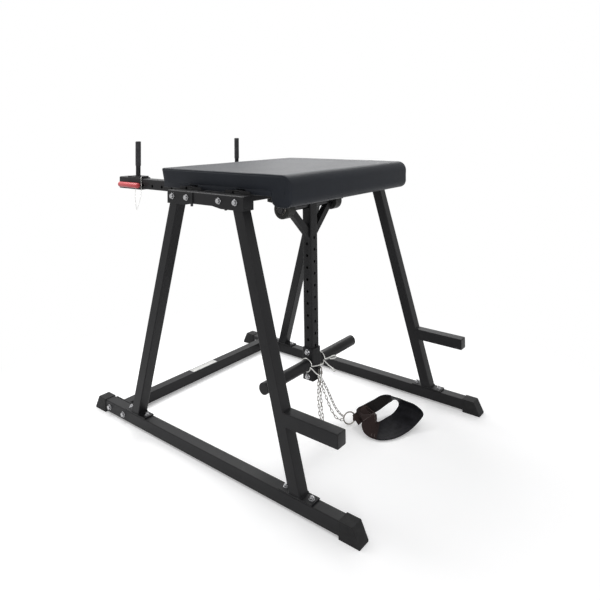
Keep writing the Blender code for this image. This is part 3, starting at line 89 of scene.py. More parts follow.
def unit(vectors: Array) -> Array:
    """Vectors divided by their own lengths."""
    return vectors / np.maximum(np.linalg.norm(vectors, axis=-1, keepdims=True), 1e-12)


def circle(count: int) -> Array:
    """Angles spread evenly over a full turn."""
    return np.linspace(0.0, 2 * math.pi, count, endpoint=False)


def travelled(line: Array) -> Array:
    """Distance along a line to each of its points."""
    return np.concatenate([[0.0], np.cumsum(np.linalg.norm(np.diff(line, axis=0), axis=1))])


def lattice(along: Array, across: Array) -> Array:
    """Every pair of two lists of values, as a grid."""
    return np.stack(np.meshgrid(along, across, indexing="ij"), axis=-1)


def bump(values: Array, middle: float | Array, width: float, power: int = 2) -> Array:
    """1 at the middle, falling off to 0 about a width away, with a flatter top for a higher power."""
    return np.exp(-(((values - middle) / width) ** power))


def square_to(direction: Array) -> tuple[Array, Array]:
    """Two directions at right angles to this one and to each other."""
    first = unit(np.cross(direction, Z_WAY if abs(direction[2]) < 0.9 else X_WAY))
    return first, np.cross(direction, first)


def through(points: Sequence[Sequence[float]], closed: bool = False, per_span: int = 24) -> Array:
    """Smooth curve through points: on each span a cubic whose slope at a point is half its neighbours' difference.

    Args:
        points: the points, in any number of dimensions.
        closed: whether the last point leads back to the first.
        per_span: samples on each span.

    Returns:
        The curve's points, one a row.
    """
    known = np.asarray(points, float)
    if closed:
        ends = np.concatenate([known[-1:], known, known[:2]])
    else:
        ends = np.concatenate([[2 * known[0] - known[1]], known, [2 * known[-1] - known[-2]]])
    a, b, c, d = (ends[k : len(ends) - 3 + k, None, :] for k in range(4))
    t = (np.arange(per_span) / per_span)[None, :, None]
    curve = 0.5 * (2 * b + (c - a) * t + (2 * a - 5 * b + 4 * c - d) * t**2 + (3 * b - a - 3 * c + d) * t**3)
    curve = curve.reshape(-1, known.shape[1])
    return curve if closed else np.vstack([curve, known[-1:]])


def evenly(line: Array, count: int, closed: bool = False) -> Array:
    """The line again as that many points, the same length apart."""
    loop = np.vstack([line, line[:1]]) if closed else line
    along = travelled(loop)
    at = np.linspace(0.0, along[-1], count, endpoint=not closed)
    return np.stack([np.interp(at, along, column) for column in loop.T], axis=1)


def turning_frames(line: Array, closed: bool = False) -> tuple[Array, Array, Array]:
    """Tangent, side and up along a line; each side is the last one less its share along the new tangent."""
    if closed:
        tangent = unit(np.roll(line, -1, axis=0) - np.roll(line, 1, axis=0))
    else:
        tangent = unit(np.gradient(line, axis=0))
    side = np.empty_like(tangent)
    side[0] = unit(np.cross(tangent[0], Z_WAY if abs(tangent[0, 2]) < 0.9 else Y_WAY))
    for i in range(1, len(line)):
        side[i] = unit(side[i - 1] - (side[i - 1] @ tangent[i]) * tangent[i])
    return tangent, side, np.cross(tangent, side)


def tube(line: Array, radius: float | Array, sides: int, closed: bool = False) -> Array:
    """Round wire: at each point, radius times (cos a side + sin a up) for a from 0 to a full turn.

    Args:
        line: the wire's middle.
        radius: one radius, or one for each point.
        sides: points round the wire.
        closed: whether the wire is a loop.

    Returns:
        Grid of points, one row a place on the line.
    """
    _, side, up = turning_frames(line, closed)
    angle = circle(sides)[None, :, None]
    size = np.broadcast_to(np.asarray(radius, float), (len(line),))[:, None, None]
    return line[:, None] + size * (np.cos(angle) * side[:, None] + np.sin(angle) * up[:, None])


def hoop(centre: Sequence[float], radius: float, first: Array, second: Array) -> Array:
    """Circle of 64 points about a centre, from one direction towards another."""
    angle = circle(64)[:, None]
    return np.asarray(centre) + radius * (np.cos(angle) * first + np.sin(angle) * second)


def turned(profile: Sequence[Sequence[float]], centre: Sequence[float], axis: Array, sides: int) -> Array:
    """Surface of revolution: place along the axis plus radius times (cos a, sin a) across it.

    Args:
        profile: rows of place along the axis and radius.
        centre: point on the axis that places are measured from.
        axis: direction of the axis.
        sides: points round the axis.

    Returns:
        Grid of points, one row for each of the profile's.
    """
    along, radius = np.asarray(profile, float).T[..., None, None]
    u, v = square_to(axis)
    angle = circle(sides)[None, :, None]
    return np.asarray(centre, float) + along * axis + radius * (np.cos(angle) * u + np.sin(angle) * v)


def hexagon(centre: Sequence[float], ways: Sequence[Array], apothem: float, levels: Array, sides: int) -> Array:
    """Hexagonal prism: at each level, the smaller of the hexagon's reach and a cap.

    Args:
        centre: point on the axis that levels are measured from.
        ways: two directions across the axis, and its own.
        apothem: half of the width across flats.
        levels: rows of place along the axis and cap, in apothems.
        sides: points round the axis.

    Returns:
        Grid of points, one row a level.
    """
    u, v, axis = ways
    place, cap = np.asarray(levels, float).T[..., None]
    angle = circle(sides)
    size = np.minimum(apothem / np.cos(angle % (math.pi / 3) - math.pi / 6), apothem * cap)[..., None]
    ring = np.cos(angle)[:, None] * u + np.sin(angle)[:, None] * v
    return np.asarray(centre) + place[..., None] * axis + size * ring


def rounded(half_u: float, half_v: float, radius: float, steps: int = 5) -> Array:
    """Rectangle with round corners: each corner's centre plus radius times (cos a, sin a) over a quarter turn."""
    turn = np.linspace(0.0, math.pi / 2, steps + 1)
    angle = np.arange(4.0)[:, None] * math.pi / 2 + turn
    sign = np.array([(1, 1), (-1, 1), (-1, -1), (1, -1)], float)
    u = sign[:, 0:1] * (half_u - radius) + radius * np.cos(angle)
    v = sign[:, 1:2] * (half_v - radius) + radius * np.sin(angle)
    return np.stack([u.ravel(), v.ravel()], axis=1)


def on_axis(axis: str, along: Array | float, uv: Array) -> Array:
    """Points with their place along one axis and their other two coordinates in X, Y, Z order."""
    order = {"X": (2, 0, 1), "Y": (0, 2, 1), "Z": (0, 1, 2)}[axis]
    stacked = np.stack([uv[..., 0], uv[..., 1], np.broadcast_to(along, uv.shape[:-1])], axis=-1)
    return stacked[..., order]


def slab(outline: Array, axis: str, start: float, end: float, edge: float) -> Array:
    """Outline carried along an axis, drawn in towards its middle by the edge's size at both ends.

    Args:
        outline: rows of the two coordinates across the axis.
        axis: X, Y or Z.
        start: one end along the axis.
        end: the other end.
        edge: size of the rounded edge.

    Returns:
        Grid of points, one row a place along the axis.
    """
    turn = np.linspace(0.0, math.pi / 2, 4)
    inset = np.concatenate([edge * (1 - np.sin(turn)), edge * (1 - np.sin(turn[::-1]))])
    along = np.concatenate([start + edge * (1 - np.cos(turn)), end - edge * (1 - np.cos(turn[::-1]))])
    middle = (outline.min(axis=0) + outline.max(axis=0)) / 2
    half = (outline.max(axis=0) - outline.min(axis=0)) / 2
    scale = 1 - inset[:, None] / half[None, :]
    return on_axis(axis, along[:, None], middle + (outline - middle)[None] * scale[:, None])


class Sculpt:
    """Surfaces gathered into one object."""

    def __init__(self) -> None:
        """Start with nothing."""
        self._points: list[Array] = []
        self._uv: list[Array] = []
        self._faces: list[list[int]] = []
        self._count = 0

    def grid(self, grid: Array, loop: bool = False, uv: Array | None = None) -> Sculpt:
        """Add a grid of points as quads between neighbouring rows and columns; its columns are closed.

        Args:
            grid: points, rows by columns by 3.
            loop: whether the last row joins the first; otherwise one face closes each end.
            uv: pattern coordinates for each point.

        Returns:
            This sculpt.
        """
        rows, columns = grid.shape[:2]
        row = np.arange(rows if loop else rows - 1)[:, None]
        column = np.arange(columns)[None, :]
        after, beside = (row + 1) % rows, (column + 1) % columns
        quads = np.stack([row * columns + column, row * columns + beside,
                          after * columns + beside, after * columns + column], axis=-1)
        self._faces += (quads.reshape(-1, 4) + self._count).tolist()
        if not loop:
            first = np.arange(columns) + self._count
            self._faces += [first.tolist(), (first + (rows - 1) * columns).tolist()]
        self._points.append(grid.reshape(-1, 3))
        self._uv.append(np.zeros((rows * columns, 2)) if uv is None else uv.reshape(-1, 2))
        self._count += rows * columns
        return self

    def build(self, name: str, finish: Finish, body: str, *replaced: str) -> bpy.types.Object:
        """One object with all the surfaces, its faces turned outward and its sharp edges kept.

        Args:
            name: the piece's name.
            finish: its finish.
            body: the body that it rides on.
            replaced: frame nodes that it stands for.

        Returns:
            The piece.
        """
        mesh = bpy.data.meshes.new(name)
        mesh.from_pydata(np.concatenate(self._points).tolist(), [], self._faces)
        work = bmesh.new()
        work.from_mesh(mesh)
        bmesh.ops.recalc_face_normals(work, faces=work.faces)
        work.to_mesh(mesh)
        work.free()
        corner = np.zeros(len(mesh.loops), np.int32)
        mesh.loops.foreach_get("vertex_index", corner)
        layer = mesh.uv_layers.new(name="pattern")
        layer.data.foreach_set("uv", np.concatenate(self._uv)[corner].astype(np.float32).ravel())
        mesh.shade_smooth()
        mesh.set_sharp_from_angle(angle=math.radians(42))
        mesh.materials.append(finish.material())
        piece = bpy.data.objects.new(name, mesh)
        bpy.context.scene.collection.objects.link(piece)
        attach(piece, body)
        if replaced:
            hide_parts(*replaced)
        LOG.info("%s: %d points", name, self._count)
        return piece


# Materials written as expressions


class Signal:
    """A node's output that Python's own operators work on."""

    def __init__(self, bench: Bench, socket: bpy.types.NodeSocket) -> None:
        """Keep the socket and the bench that its nodes stand on."""
        self.bench = bench
        self.socket = socket

    def __add__(self, other: Signal | float) -> Signal:
        """Sum."""
        return self.bench.maths("ADD", self, other)

    def __sub__(self, other: Signal | float) -> Signal:
        """Difference."""
        return self.bench.maths("SUBTRACT", self, other)

    def __rsub__(self, other: float) -> Signal:
        """Difference, this one taken away."""
        return self.bench.maths("SUBTRACT", other, self)

    def __mul__(self, other: Signal | float) -> Signal:
        """Product."""
        return self.bench.maths("MULTIPLY", self, other)

    def __pow__(self, other: Signal | float) -> Signal:
        """Power."""
        return self.bench.maths("POWER", self, other)

    __radd__ = __add__
    __rmul__ = __mul__

    def sine(self) -> Signal:
        """Sine of this value in radians."""
        return self.bench.maths("SINE", self)


Value = Signal | float | Sequence[float]
Texture = tuple[float | Point, ...]


class Bench:
    """The node tree of one material or of the world."""

    def __init__(self, owner: bpy.types.Material | bpy.types.World) -> None:
        """Start with an empty tree."""
        owner.use_nodes = True
        self.tree = owner.node_tree
        self.tree.nodes.clear()

    def node(self, kind: str, values: Mapping[str | int, Value] | None = None, output: str | int = 0,
             **settings: Any) -> Signal:
        """Add any node.

        Args:
            kind: the node's type, without ShaderNode in front.
            values: values or links for its inputs, by name or number.
            output: which of its outputs is wanted.
            settings: its own settings, set first.

        Returns:
            That output.
        """
        node = self.tree.nodes.new(f"ShaderNode{kind}")
        for key, setting in settings.items():
            setattr(node, key, setting)
        for key, value in (values or {}).items():
            if isinstance(value, Signal):
                self.tree.links.new(value.socket, node.inputs[key])
            else:
                node.inputs[key].default_value = value
        return Signal(self, node.outputs[output])

    def show(self, kind: str, shader: Signal) -> None:
        """Link a shader to the tree's Material or World output."""
        self.tree.links.new(shader.socket, self.tree.nodes.new(f"ShaderNodeOutput{kind}").inputs["Surface"])

    def maths(self, operation: str, *operands: Signal | float) -> Signal:
        """A Math node on one or two values."""
        return self.node("Math", dict(enumerate(operands)), operation=operation)

    def mix(self, share: Signal, first: Signal, second: Signal) -> Signal:
        """The first shader, with that share of the second."""
        return self.node("MixShader", {0: share, 1: first, 2: second})

    def seen(self) -> Signal:
        """1 for rays from the camera, from glossy faces and through clear ones, otherwise 0."""
        kinds = ("Is Camera Ray", "Is Glossy Ray", "Is Transmission Ray")
        camera, glossy, clear = (self.node("LightPath", output=kind) for kind in kinds)
        return self.maths("MINIMUM", camera + glossy + clear, 1.0)

    def noise(self, scale: float, detail: float, stretch: Point = (1.0, 1.0, 1.0)) -> Signal:
        """Cloudy noise from 0 to 1 in object coordinates, with that many patches in a metre."""
        place = self.node("Mapping", {"Vector": self.node("TexCoord", output="Object"), "Scale": stretch})
        values = {"Vector": place, "Scale": scale, "Detail": detail, "Roughness": 0.55}
        return self.node("TexNoise", values, "Fac")

    def cells(self, scale: float) -> Signal:
        """Distance to the nearest of scattered points, with that many in a metre."""
        values = {"Vector": self.node("TexCoord", output="Object"), "Scale": scale}
        return self.node("TexVoronoi", values, "Distance")

    def blend(self, textures: Sequence[Texture]) -> Signal:
        """Weighted sum: rows of weight, scale and detail are noises, rows of weight and scale are cells."""
        return sum(weight * (self.noise(*rest) if len(rest) > 1 else self.cells(*rest)) for weight, *rest in textures)

    def shades(self, signal: Signal, stops: Sequence[tuple[float, Colour]]) -> Signal:
        """Colours picked along a ramp."""
        picked = self.node("ValToRGB", {"Fac": signal})
        elements = picked.socket.node.color_ramp.elements
        while len(elements) < len(stops):
            elements.new(0.5)
        for element, (place, colour) in zip(elements, stops):
            element.position = place
            element.color = (*colour, 1.0)
        return picked

    def pattern_uv(self, output: str) -> Signal:
        """X or Y of the piece's own pattern coordinates, in metres along and across it."""
        return self.node("SeparateXYZ", {"Vector": self.node("UVMap", uv_map="pattern")}, output)


def tint(colour: Colour, factor: float) -> Colour:
    """The colour made lighter or darker."""
    return tuple(min(1.0, c * factor) for c in colour)


@dataclass(frozen=True)
class Finish:
    """A look: shades picked by blended textures, uneven roughness and a fine relief."""

    name: str
    slot: str
    colour: Colour
    roughness: float
    gloss: float = 0.5
    metallic: float = 0.0
    tones: tuple[Texture, ...] = ()
    stops: Pairs = ()
    uneven: tuple[Texture, ...] = ()
    grain: tuple[Texture, ...] = ()
    depth: float = 0.1 * MM

    made: ClassVar[dict[str, bpy.types.Material]] = {}

    def material(self) -> bpy.types.Material:
        """This finish's material, made once."""
        if self.name not in Finish.made:
            Finish.made[self.name] = bpy.data.materials.new(self.name)
            bench = Bench(Finish.made[self.name])
            relief = {"Height": self.height(bench), "Distance": self.depth, "Strength": 1.0}
            values = {"Metallic": self.metallic, "Specular IOR Level": self.gloss, "Roughness": self.roughness,
                      "Base Color": bench.shades(self.tone(bench), self.ramp()), "Normal": bench.node("Bump", relief)}
            if self.uneven:
                half = sum(weight for weight, *_ in self.uneven) / 2
                values["Roughness"] = self.roughness - half + bench.blend(self.uneven)
            bench.show("Material", bench.node("BsdfPrincipled", values))
        return Finish.made[self.name]

    def ramp(self) -> list[tuple[float, Colour]]:
        """Places and colours of the shades."""
        return [(place, tint(self.colour, factor)) for place, factor in self.stops]

    def tone(self, bench: Bench) -> Signal:
        """What picks the shade."""
        return bench.blend(self.tones)

    def height(self, bench: Bench) -> Signal:
        """What stands out, where 1 is the full depth."""
        return bench.blend(self.grain)


@dataclass(frozen=True)
class Vinyl(Finish):
    """Upholstery vinyl: small pressed cells with creases between them."""

    cell_scale: float = 620.0

    def height(self, bench: Bench) -> Signal:
        """Domed cells under a finer grain."""
        return 1.0 - bench.cells(self.cell_scale) ** 1.5 + super().height(bench)


@dataclass(frozen=True)
class Webbing(Finish):
    """Woven webbing: ribs across its length, each broken by the threads along it."""

    rib: float = 1.6 * MM

    def weave(self, bench: Bench) -> Signal:
        """Product of a sine along the piece and one across it, shifted by half a rib from row to row."""
        along, across = bench.pattern_uv("X"), bench.pattern_uv("Y")
        turn = 2 * math.pi / self.rib
        return 0.5 + 0.5 * (turn * along).sine() * (turn * across + (0.5 * turn * along).sine()).sine()

    def tone(self, bench: Bench) -> Signal:
        """Weave under its fuzz."""
        return super().tone(bench) + 0.75 * self.weave(bench)

    def height(self, bench: Bench) -> Signal:
        """Weave under its fuzz."""
        return super().height(bench) + self.weave(bench)


@dataclass(frozen=True)
class PadCloth(Finish):
    """Coated cloth of the ankle pad: painted shade in its creases, painted sheen on their ridges, and the webbing's
    colour where its sewn ends cover the pad.
    """

    binding: Colour = (0.0235, 0.0145, 0.0138)
    binding_stops: Pairs = ((0.62, 0.6), (0.9, 1.5))
    bound: Pair = (0.563, 0.054)

    def ramp(self) -> list[tuple[float, Colour]]:
        """The cloth's shades, then the binding's."""
        return super().ramp() + [(place, tint(self.binding, factor)) for place, factor in self.binding_stops]

    def tone(self, bench: Bench) -> Signal:
        """Creases and weave as painted shade and sheen, lifted into the binding's shades past one station and before
        another.
        """
        along = bench.pattern_uv("X")
        past, before = (bench.maths(test, along, limit)
                        for test, limit in zip(("GREATER_THAN", "LESS_THAN"), self.bound))
        return super().tone(bench) + 0.5 * (past + before)


POWDER = Finish("black_powder_coat", "powder_coat", (0.0105, 0.0105, 0.0115), 0.42, 0.19,
                tones=((0.6, 14.0, 3.0), (0.4, 1300.0, 1.0)), stops=((0.25, 0.75), (0.75, 1.3)),
                uneven=((0.1, 60.0, 3.0),), grain=((0.65, 520.0, 2.0), (0.35, 1300.0, 1.0)))
CASTING = Finish("painted_cast_iron", "cast_iron", (0.012, 0.0125, 0.0115), 0.5, 0.3,
                 tones=((1.0, 90.0, 3.0),), stops=((0.3, 0.7), (0.7, 1.5)), uneven=((0.16, 140.0, 2.0),),
                 grain=((0.7, 260.0, 3.0), (0.3, 700.0)), depth=0.35 * MM)
ZINC = Finish("zinc_plate", "zinc", (0.62, 0.62, 0.6), 0.32, metallic=1.0,
              tones=((1.0, 180.0, 3.0),), stops=((0.3, 0.78), (0.7, 1.12)), uneven=((0.16, 420.0, 2.0),),
              grain=((1.0, 1500.0, 1.0),), depth=0.02 * MM)
BOLT_ZINC = replace(ZINC, name="bolt_zinc", colour=(0.42, 0.42, 0.43), roughness=0.26)
STEEL = replace(ZINC, name="bright_steel", slot="bright_steel", colour=(0.66, 0.65, 0.63), roughness=0.24)
SHAFT = replace(STEEL, name="black_steel", colour=(0.05, 0.05, 0.052), roughness=0.34)
CHAIN_STEEL = replace(STEEL, name="chain_zinc", colour=(0.25, 0.235, 0.215), roughness=0.34)
BLANK = replace(STEEL, name="blank_plate", colour=(0.5, 0.5, 0.5), roughness=0.38)
RUBBER = Finish("black_rubber", "rubber", (0.012, 0.012, 0.0125), 0.62, 0.19,
                tones=((1.0, 45.0, 4.0),), stops=((0.3, 0.75), (0.75, 1.45)), uneven=((0.12, 220.0, 2.0),),
                grain=((1.0, 1100.0, 2.0),), depth=0.12 * MM)
GRIP = replace(RUBBER, name="grip_rubber", colour=(0.042, 0.042, 0.0445), depth=0.2 * MM)
SEAL = replace(RUBBER, name="bearing_seal", colour=(0.008, 0.008, 0.008), roughness=0.55, gloss=0.3)
PLASTIC = Finish("black_plastic", "black_plastic", (0.012, 0.012, 0.013), 0.48, 0.26,
                 tones=((1.0, 70.0, 3.0),), stops=((0.3, 0.9), (0.7, 1.12)), uneven=((0.08, 300.0, 2.0),),
                 grain=((1.0, 1400.0, 1.0),), depth=0.05 * MM)
RED = replace(PLASTIC, name="red_plastic", slot="red_plastic", colour=(0.58, 0.066, 0.074), roughness=0.36, gloss=0.42)
STREAKS, FINE_STREAKS = (60.0, 4.0, (1.0, 0.06, 1.0)), (400.0, 2.0, (1.0, 0.05, 1.0))
PLY = Finish("birch_plywood", "plywood", (0.55, 0.4, 0.25), 0.62,
             tones=((0.7, *STREAKS), (0.3, *FINE_STREAKS)), stops=((0.3, 0.7), (0.5, 1.0), (0.72, 1.15)),
             uneven=((0.1, *STREAKS),), grain=((1.0, *FINE_STREAKS),), depth=0.08 * MM)
VINYL = Vinyl("black_vinyl", "vinyl", (0.0165, 0.019, 0.0245), 0.48, 0.12,
              tones=((1.0, 9.0, 3.0),), stops=((0.2, 0.85), (0.8, 1.2)), uneven=((0.07, 9.0, 3.0), (0.05, 620.0)),
              grain=((0.25, 1500.0, 1.0),))
WEBBING = Webbing("dark_webbing", "webbing", (0.034, 0.0235, 0.0225), 0.85, 0.09,
                  tones=((0.25, 900.0, 2.0),), stops=((0.1, 0.5), (0.9, 1.5)), grain=((0.2, 900.0, 2.0),),
                  depth=0.3 * MM)
# Lighter copy of the webbing: painted light on the band's sewn end and the ring tab, which sit in shade.
LIGHTENED_WEBBING = replace(WEBBING, name="lightened_webbing", colour=(0.06, 0.043, 0.041))
GREY_WEBBING = replace(WEBBING, name="grey_webbing", colour=(0.019, 0.0172, 0.0176))
CREASES_AND_SHADE = (55.0, 3.0, (1.0, 1.0, 0.35))
# The cloth's shades follow the crease noise of its relief: painted shade in the creases, painted sheen on the ridges.
PAD_CLOTH = PadCloth("pad_cloth", "webbing", (0.009, 0.009, 0.0108), 0.53, 0.1,
                     tones=((0.35, *CREASES_AND_SHADE), (0.15, 1300.0, 1.0)), stops=((0.14, 0.35), (0.36, 2.1)),
                     uneven=((0.2, *CREASES_AND_SHADE),), grain=((0.8, *CREASES_AND_SHADE), (0.2, 1300.0, 1.0)), depth=1.6 * MM)
THREAD = Finish("sewing_thread", "webbing", (0.3, 0.26, 0.24), 0.8, tones=((1.0, 2200.0, 1.0),),
                stops=((0.3, 0.7), (0.7, 1.2)), grain=((1.0, 2200.0, 1.0),))


# Camera, light and floor


@dataclass(frozen=True)
class PhotoCamera:
    """The camera that took the photograph, from a fit to the machine's straight edges."""

    azimuth: float = 38.555
    elevation: float = -2.205
    roll: float = -0.699
    place: Point = (1.7906, -2.0882, 1.3620)
    focal_px: float = 557.84
    centre_px: Pair = (300.0, 104.66)
    frame_px: float = 600.0
    sensor_mm: float = 36.0
    clip: Pair = (0.05, 60.0)

    def build(self) -> None:
        """Make the camera and set it as the scene's."""
        azimuth, elevation, roll = (math.radians(x) for x in (self.azimuth, self.elevation, self.roll))
        back = Vector((math.sin(azimuth) * math.cos(elevation), -math.cos(azimuth) * math.cos(elevation),
                       math.sin(elevation)))
        right = Vector((math.cos(azimuth), math.sin(azimuth), 0.0))
        up = back.cross(right)
        across = right * math.cos(roll) + up * math.sin(roll)
        upward = up * math.cos(roll) - right * math.sin(roll)
        data = bpy.data.cameras.new("photo_camera")
        data.sensor_width = self.sensor_mm
        data.lens = self.sensor_mm * self.focal_px / self.frame_px
        data.shift_x = (self.frame_px / 2 - self.centre_px[0]) / self.frame_px
        data.shift_y = (self.centre_px[1] - self.frame_px / 2) / self.frame_px
        data.clip_start, data.clip_end = self.clip
        camera = bpy.data.objects.new("photo_camera", data)
        camera.matrix_world = Matrix.Translation(self.place) @ Matrix((across, upward, back)).transposed().to_4x4()
        bpy.context.scene.collection.objects.link(camera)
        bpy.context.scene.camera = camera


@dataclass(frozen=True)
class Studio:
    """White room: an even world, four soft lamps and a pale floor that keeps the shadow."""

    room_light: float = 0.62
    floor_colour: Colour = (0.93, 0.93, 0.935)
    floor_bounce: float = 0.4
    floor_lift: float = 0.24
    floor_half: float = 14.0
    floor_z: float = -0.2 * MM
    floor_middle: Pair = (0.1, -0.1)
    fade: Pair = (0.75, 1.75)
    lamps: tuple[tuple[str, Point, Point, float, float], ...] = (
        ("high_softbox", (-1.5, 0.6, 3.1), (0.0, 0.0, 0.6), 1.6, 38.0),
        ("back_softbox", (-1.5, 2.9, 2.9), (0.0, 0.0, 0.5), 2.2, 42.0),
        ("front_softbox", (2.6, -2.8, 0.9), (0.1, -0.1, 0.7), 0.8, 30.0),
        ("near_softbox", (-1.9, -0.95, 2.75), (0.0, -0.4, 0.9), 1.5, 30.0),
    )

    def build(self) -> None:
        """Make the world, the lamps and the floor."""
        scene = bpy.context.scene
        scene.view_settings.view_transform = "Standard"
        scene.world = bpy.data.worlds.new("white_room")
        bench = Bench(scene.world)
        light, backdrop = (bench.node("Background", {"Color": WHITE, "Strength": strength})
                           for strength in (self.room_light, 1.0))
        bench.show("World", bench.mix(bench.seen(), light, backdrop))
        for lamp in self.lamps:
            self._lamp(*lamp)
        self._floor()

    @staticmethod
    def _lamp(name: str, place: Point, aim: Point, size: float, power: float) -> None:
        """A square soft lamp turned to a point."""
        data = bpy.data.lights.new(name, "AREA")
        data.shape, data.size, data.energy = "SQUARE", size, power
        lamp = bpy.data.objects.new(name, data)
        lamp.visible_camera = False
        lamp.location = place
        lamp.rotation_mode = "QUATERNION"
        lamp.rotation_quaternion = (Vector(aim) - Vector(place)).to_track_quat("-Z", "Y")
        bpy.context.scene.collection.objects.link(lamp)

    def _floor(self) -> None:
        """Flat floor: pale near the machine, where shadows lie on it, and the backdrop's white further out."""
        edge = np.linspace(-self.floor_half, self.floor_half, 9)
        grid = on_axis("Z", self.floor_z, lattice(edge, edge))
        mesh = bpy.data.meshes.new("floor")
        index = np.arange(edge.size**2).reshape(edge.size, edge.size)
        faces = np.stack([index[:-1, :-1], index[1:, :-1], index[1:, 1:], index[:-1, 1:]], axis=-1)
        mesh.from_pydata(grid.reshape(-1, 3).tolist(), [], faces.reshape(-1, 4).tolist())
        mesh.materials.append(self._floor_material())
        floor = bpy.data.objects.new("floor", mesh)
        bpy.context.scene.collection.objects.link(floor)

    def _floor_material(self) -> bpy.types.Material:
        """The floor's material.

        What the camera sees of it is lifted to white where no shadow lies. The light that it throws back onto the
        machine comes from a darker floor, as a small sheet of paper in a dim room would throw it.
        """
        material = bpy.data.materials.new("pale_floor")
        bench = Bench(material)
        paper = bench.node("BsdfPrincipled", {"Base Color": (*self.floor_colour, 1.0), "Roughness": 0.9,
                                              "Specular IOR Level": 0.1})
        place = {"Vector": bench.node("TexCoord", output="Object")}
        east, north = (bench.node("SeparateXYZ", place, axis) - middle
                       for axis, middle in zip("XY", self.floor_middle))
        away = (east * east + north * north) ** 0.5
        dim = bench.node("BsdfDiffuse", {"Color": (*(3 * (self.floor_bounce,)), 1.0)})
        lift, white = (bench.node("Emission", {"Color": WHITE, "Strength": strength})
                       for strength in (self.floor_lift, 1.0))
        seen = bench.seen()
        near = bench.mix(seen, dim, bench.node("AddShader", {0: paper, 1: lift}))
        share = bench.node("MapRange", {"Value": away, "From Min": self.fade[0], "From Max": self.fade[1]}, "Result",
                           interpolation_type="SMOOTHSTEP")
        bench.show("Material", bench.mix(seen * share, near, white))
        return material


# Chains and lanyards


@dataclass(frozen=True)
class PullChains:
    """The two strands and the spare chain under the eye: ovals of round wire, each turned a quarter from the last."""

    top: Point = (EYE_X + 3 * MM, EYE_Y, 0.1999)
    beside: float = 5.3 * MM
    clearance: float = 0.3 * MM
    near_route: Points = (
        (0.236, 0.010, 0.150), (0.248, 0.024, 0.100), (0.262, 0.036, 0.055), (0.280, 0.045, 0.026),
        (0.2995, 0.0493, 0.0198), (0.3158, 0.0507, 0.0248))
    far_route: Points = (
        (0.238, 0.032, 0.150), (0.248, 0.050, 0.104), (0.258, 0.062, 0.068), (0.271, 0.068, 0.046),
        (0.288, 0.066, 0.037), (0.304, 0.0585, 0.037), (0.3175, 0.0535, 0.037))
    tail_route: Points = (
        (0.217, -0.006, 0.120), (0.224, -0.008, 0.060), (0.230, -0.008, 0.024), (0.236, -0.004, 0.009),
        (0.236, 0.007, 0.009), (0.230, 0.011, 0.024), (0.224, 0.011, 0.060), (0.218, 0.013, 0.120))
    link_length: float = 22 * MM
    link_width: float = 11.5 * MM
    wire: float = 3.0 * MM
    wobble: float = 0.25

    def links(self, line: Array) -> Array:
        """All links as one array: an oval in its own plane, carried to the chord of its stretch of the line.

        Args:
            line: the route's points.

        Returns:
            Points, links by places round the oval by points round the wire by 3.
        """
        pitch = self.link_length - 2 * self.wire
        count = max(2, round((travelled(line)[-1] - self.wire) / pitch))
        ends = evenly(line, count + 1)
        middle = (ends[1:] + ends[:-1]) / 2
        along = unit(ends[1:] - ends[:-1])
        _, side, _ = turning_frames(middle)
        side = unit(side - (side * along).sum(axis=1, keepdims=True) * along)
        up = np.cross(along, side)
        wobble = np.random.default_rng(4).uniform(-self.wobble, self.wobble, count)
        turn = ((np.arange(count) % 2) * math.pi / 2 + math.pi / 4 + wobble)[:, None]
        across = np.cos(turn) * side + np.sin(turn) * up
        bend = (self.link_width - self.wire) / 2
        straight = (self.link_length - self.link_width) / 2
        angle, round_wire = circle(28), circle(10)
        oval = np.stack([bend * np.cos(angle) + straight * np.sign(np.cos(angle)), bend * np.sin(angle)], axis=1)
        out = np.stack([np.cos(angle), np.sin(angle)], axis=1)
        flat = oval[:, None] + self.wire / 2 * np.cos(round_wire)[None, :, None] * out[:, None]
        local = on_axis("Z", self.wire / 2 * np.sin(round_wire), flat)
        basis = np.stack([along, across, np.cross(along, across)], axis=1)
        return middle[:, None, None] + np.einsum("abk,nkj->nabj", local, basis)

    def build(self) -> None:
        x, y, z = self.top
        near, far = ((x, y - self.beside, z), (x, y + self.beside, z))
        back = x - 2 * self.beside + self.clearance
        tail = [(back, near[1], z), *self.tail_route, (back, far[1], z)]
        for name, node, route in (("chain_links_near", "chain_strand_near", [near, *self.near_route]),
                                  ("chain_links_far", "chain_strand_far", [far, *self.far_route]),
                                  ("chain_links_spare", "chain_tail", tail)):
            line = evenly(through(route), 60)
            sculpt = Sculpt()
            for link in self.links(line):
                sculpt.grid(link, loop=True)
            sculpt.build(name, CHAIN_STEEL, STRAP, node)


@dataclass(frozen=True)
class Lanyard:
    """Thin plated wire from the red bar down in a loop and up to the carriage."""

    side: str
    sign: int
    radius: float = 1.0 * MM
    crimps: Pair = (0.012, 0.014)
    crimp_half: float = 0.006
    points: Points = (
        (-0.616, BAR_Y, 1.0607), (-0.618, BAR_Y, 1.0157), (-0.612, BAR_Y, 0.971), (-0.603, BAR_Y, 0.953),
        (-0.593, BAR_Y, 0.975), (-0.590, 0.390, 1.024), (-0.588, 0.390, 1.081), (-0.589, 0.390, 1.106),
        (-0.598, 0.382, 1.115), (-0.607, 0.3716, 1.114))

    def build(self) -> None:
        """Make the wire, from the same points as the frame's own, with a crimped sleeve near each end."""
        line = evenly(through([(x, self.sign * y, z) for x, y, z in self.points]), 90)
        place = np.linspace(0.0, travelled(line)[-1], 90)
        sleeve = bump(place, self.crimps[0], self.crimp_half, 8)
        sleeve = sleeve + bump(place[-1] - place, self.crimps[1], self.crimp_half, 8)
        wire = Sculpt().grid(tube(line, self.radius * (1 + 0.35 * sleeve), 10))
        piece = wire.build(f"lanyard_wire_{self.side}", STEEL, f"handle_{self.side}", f"pin_lanyard_{self.side}")


# The pull strap


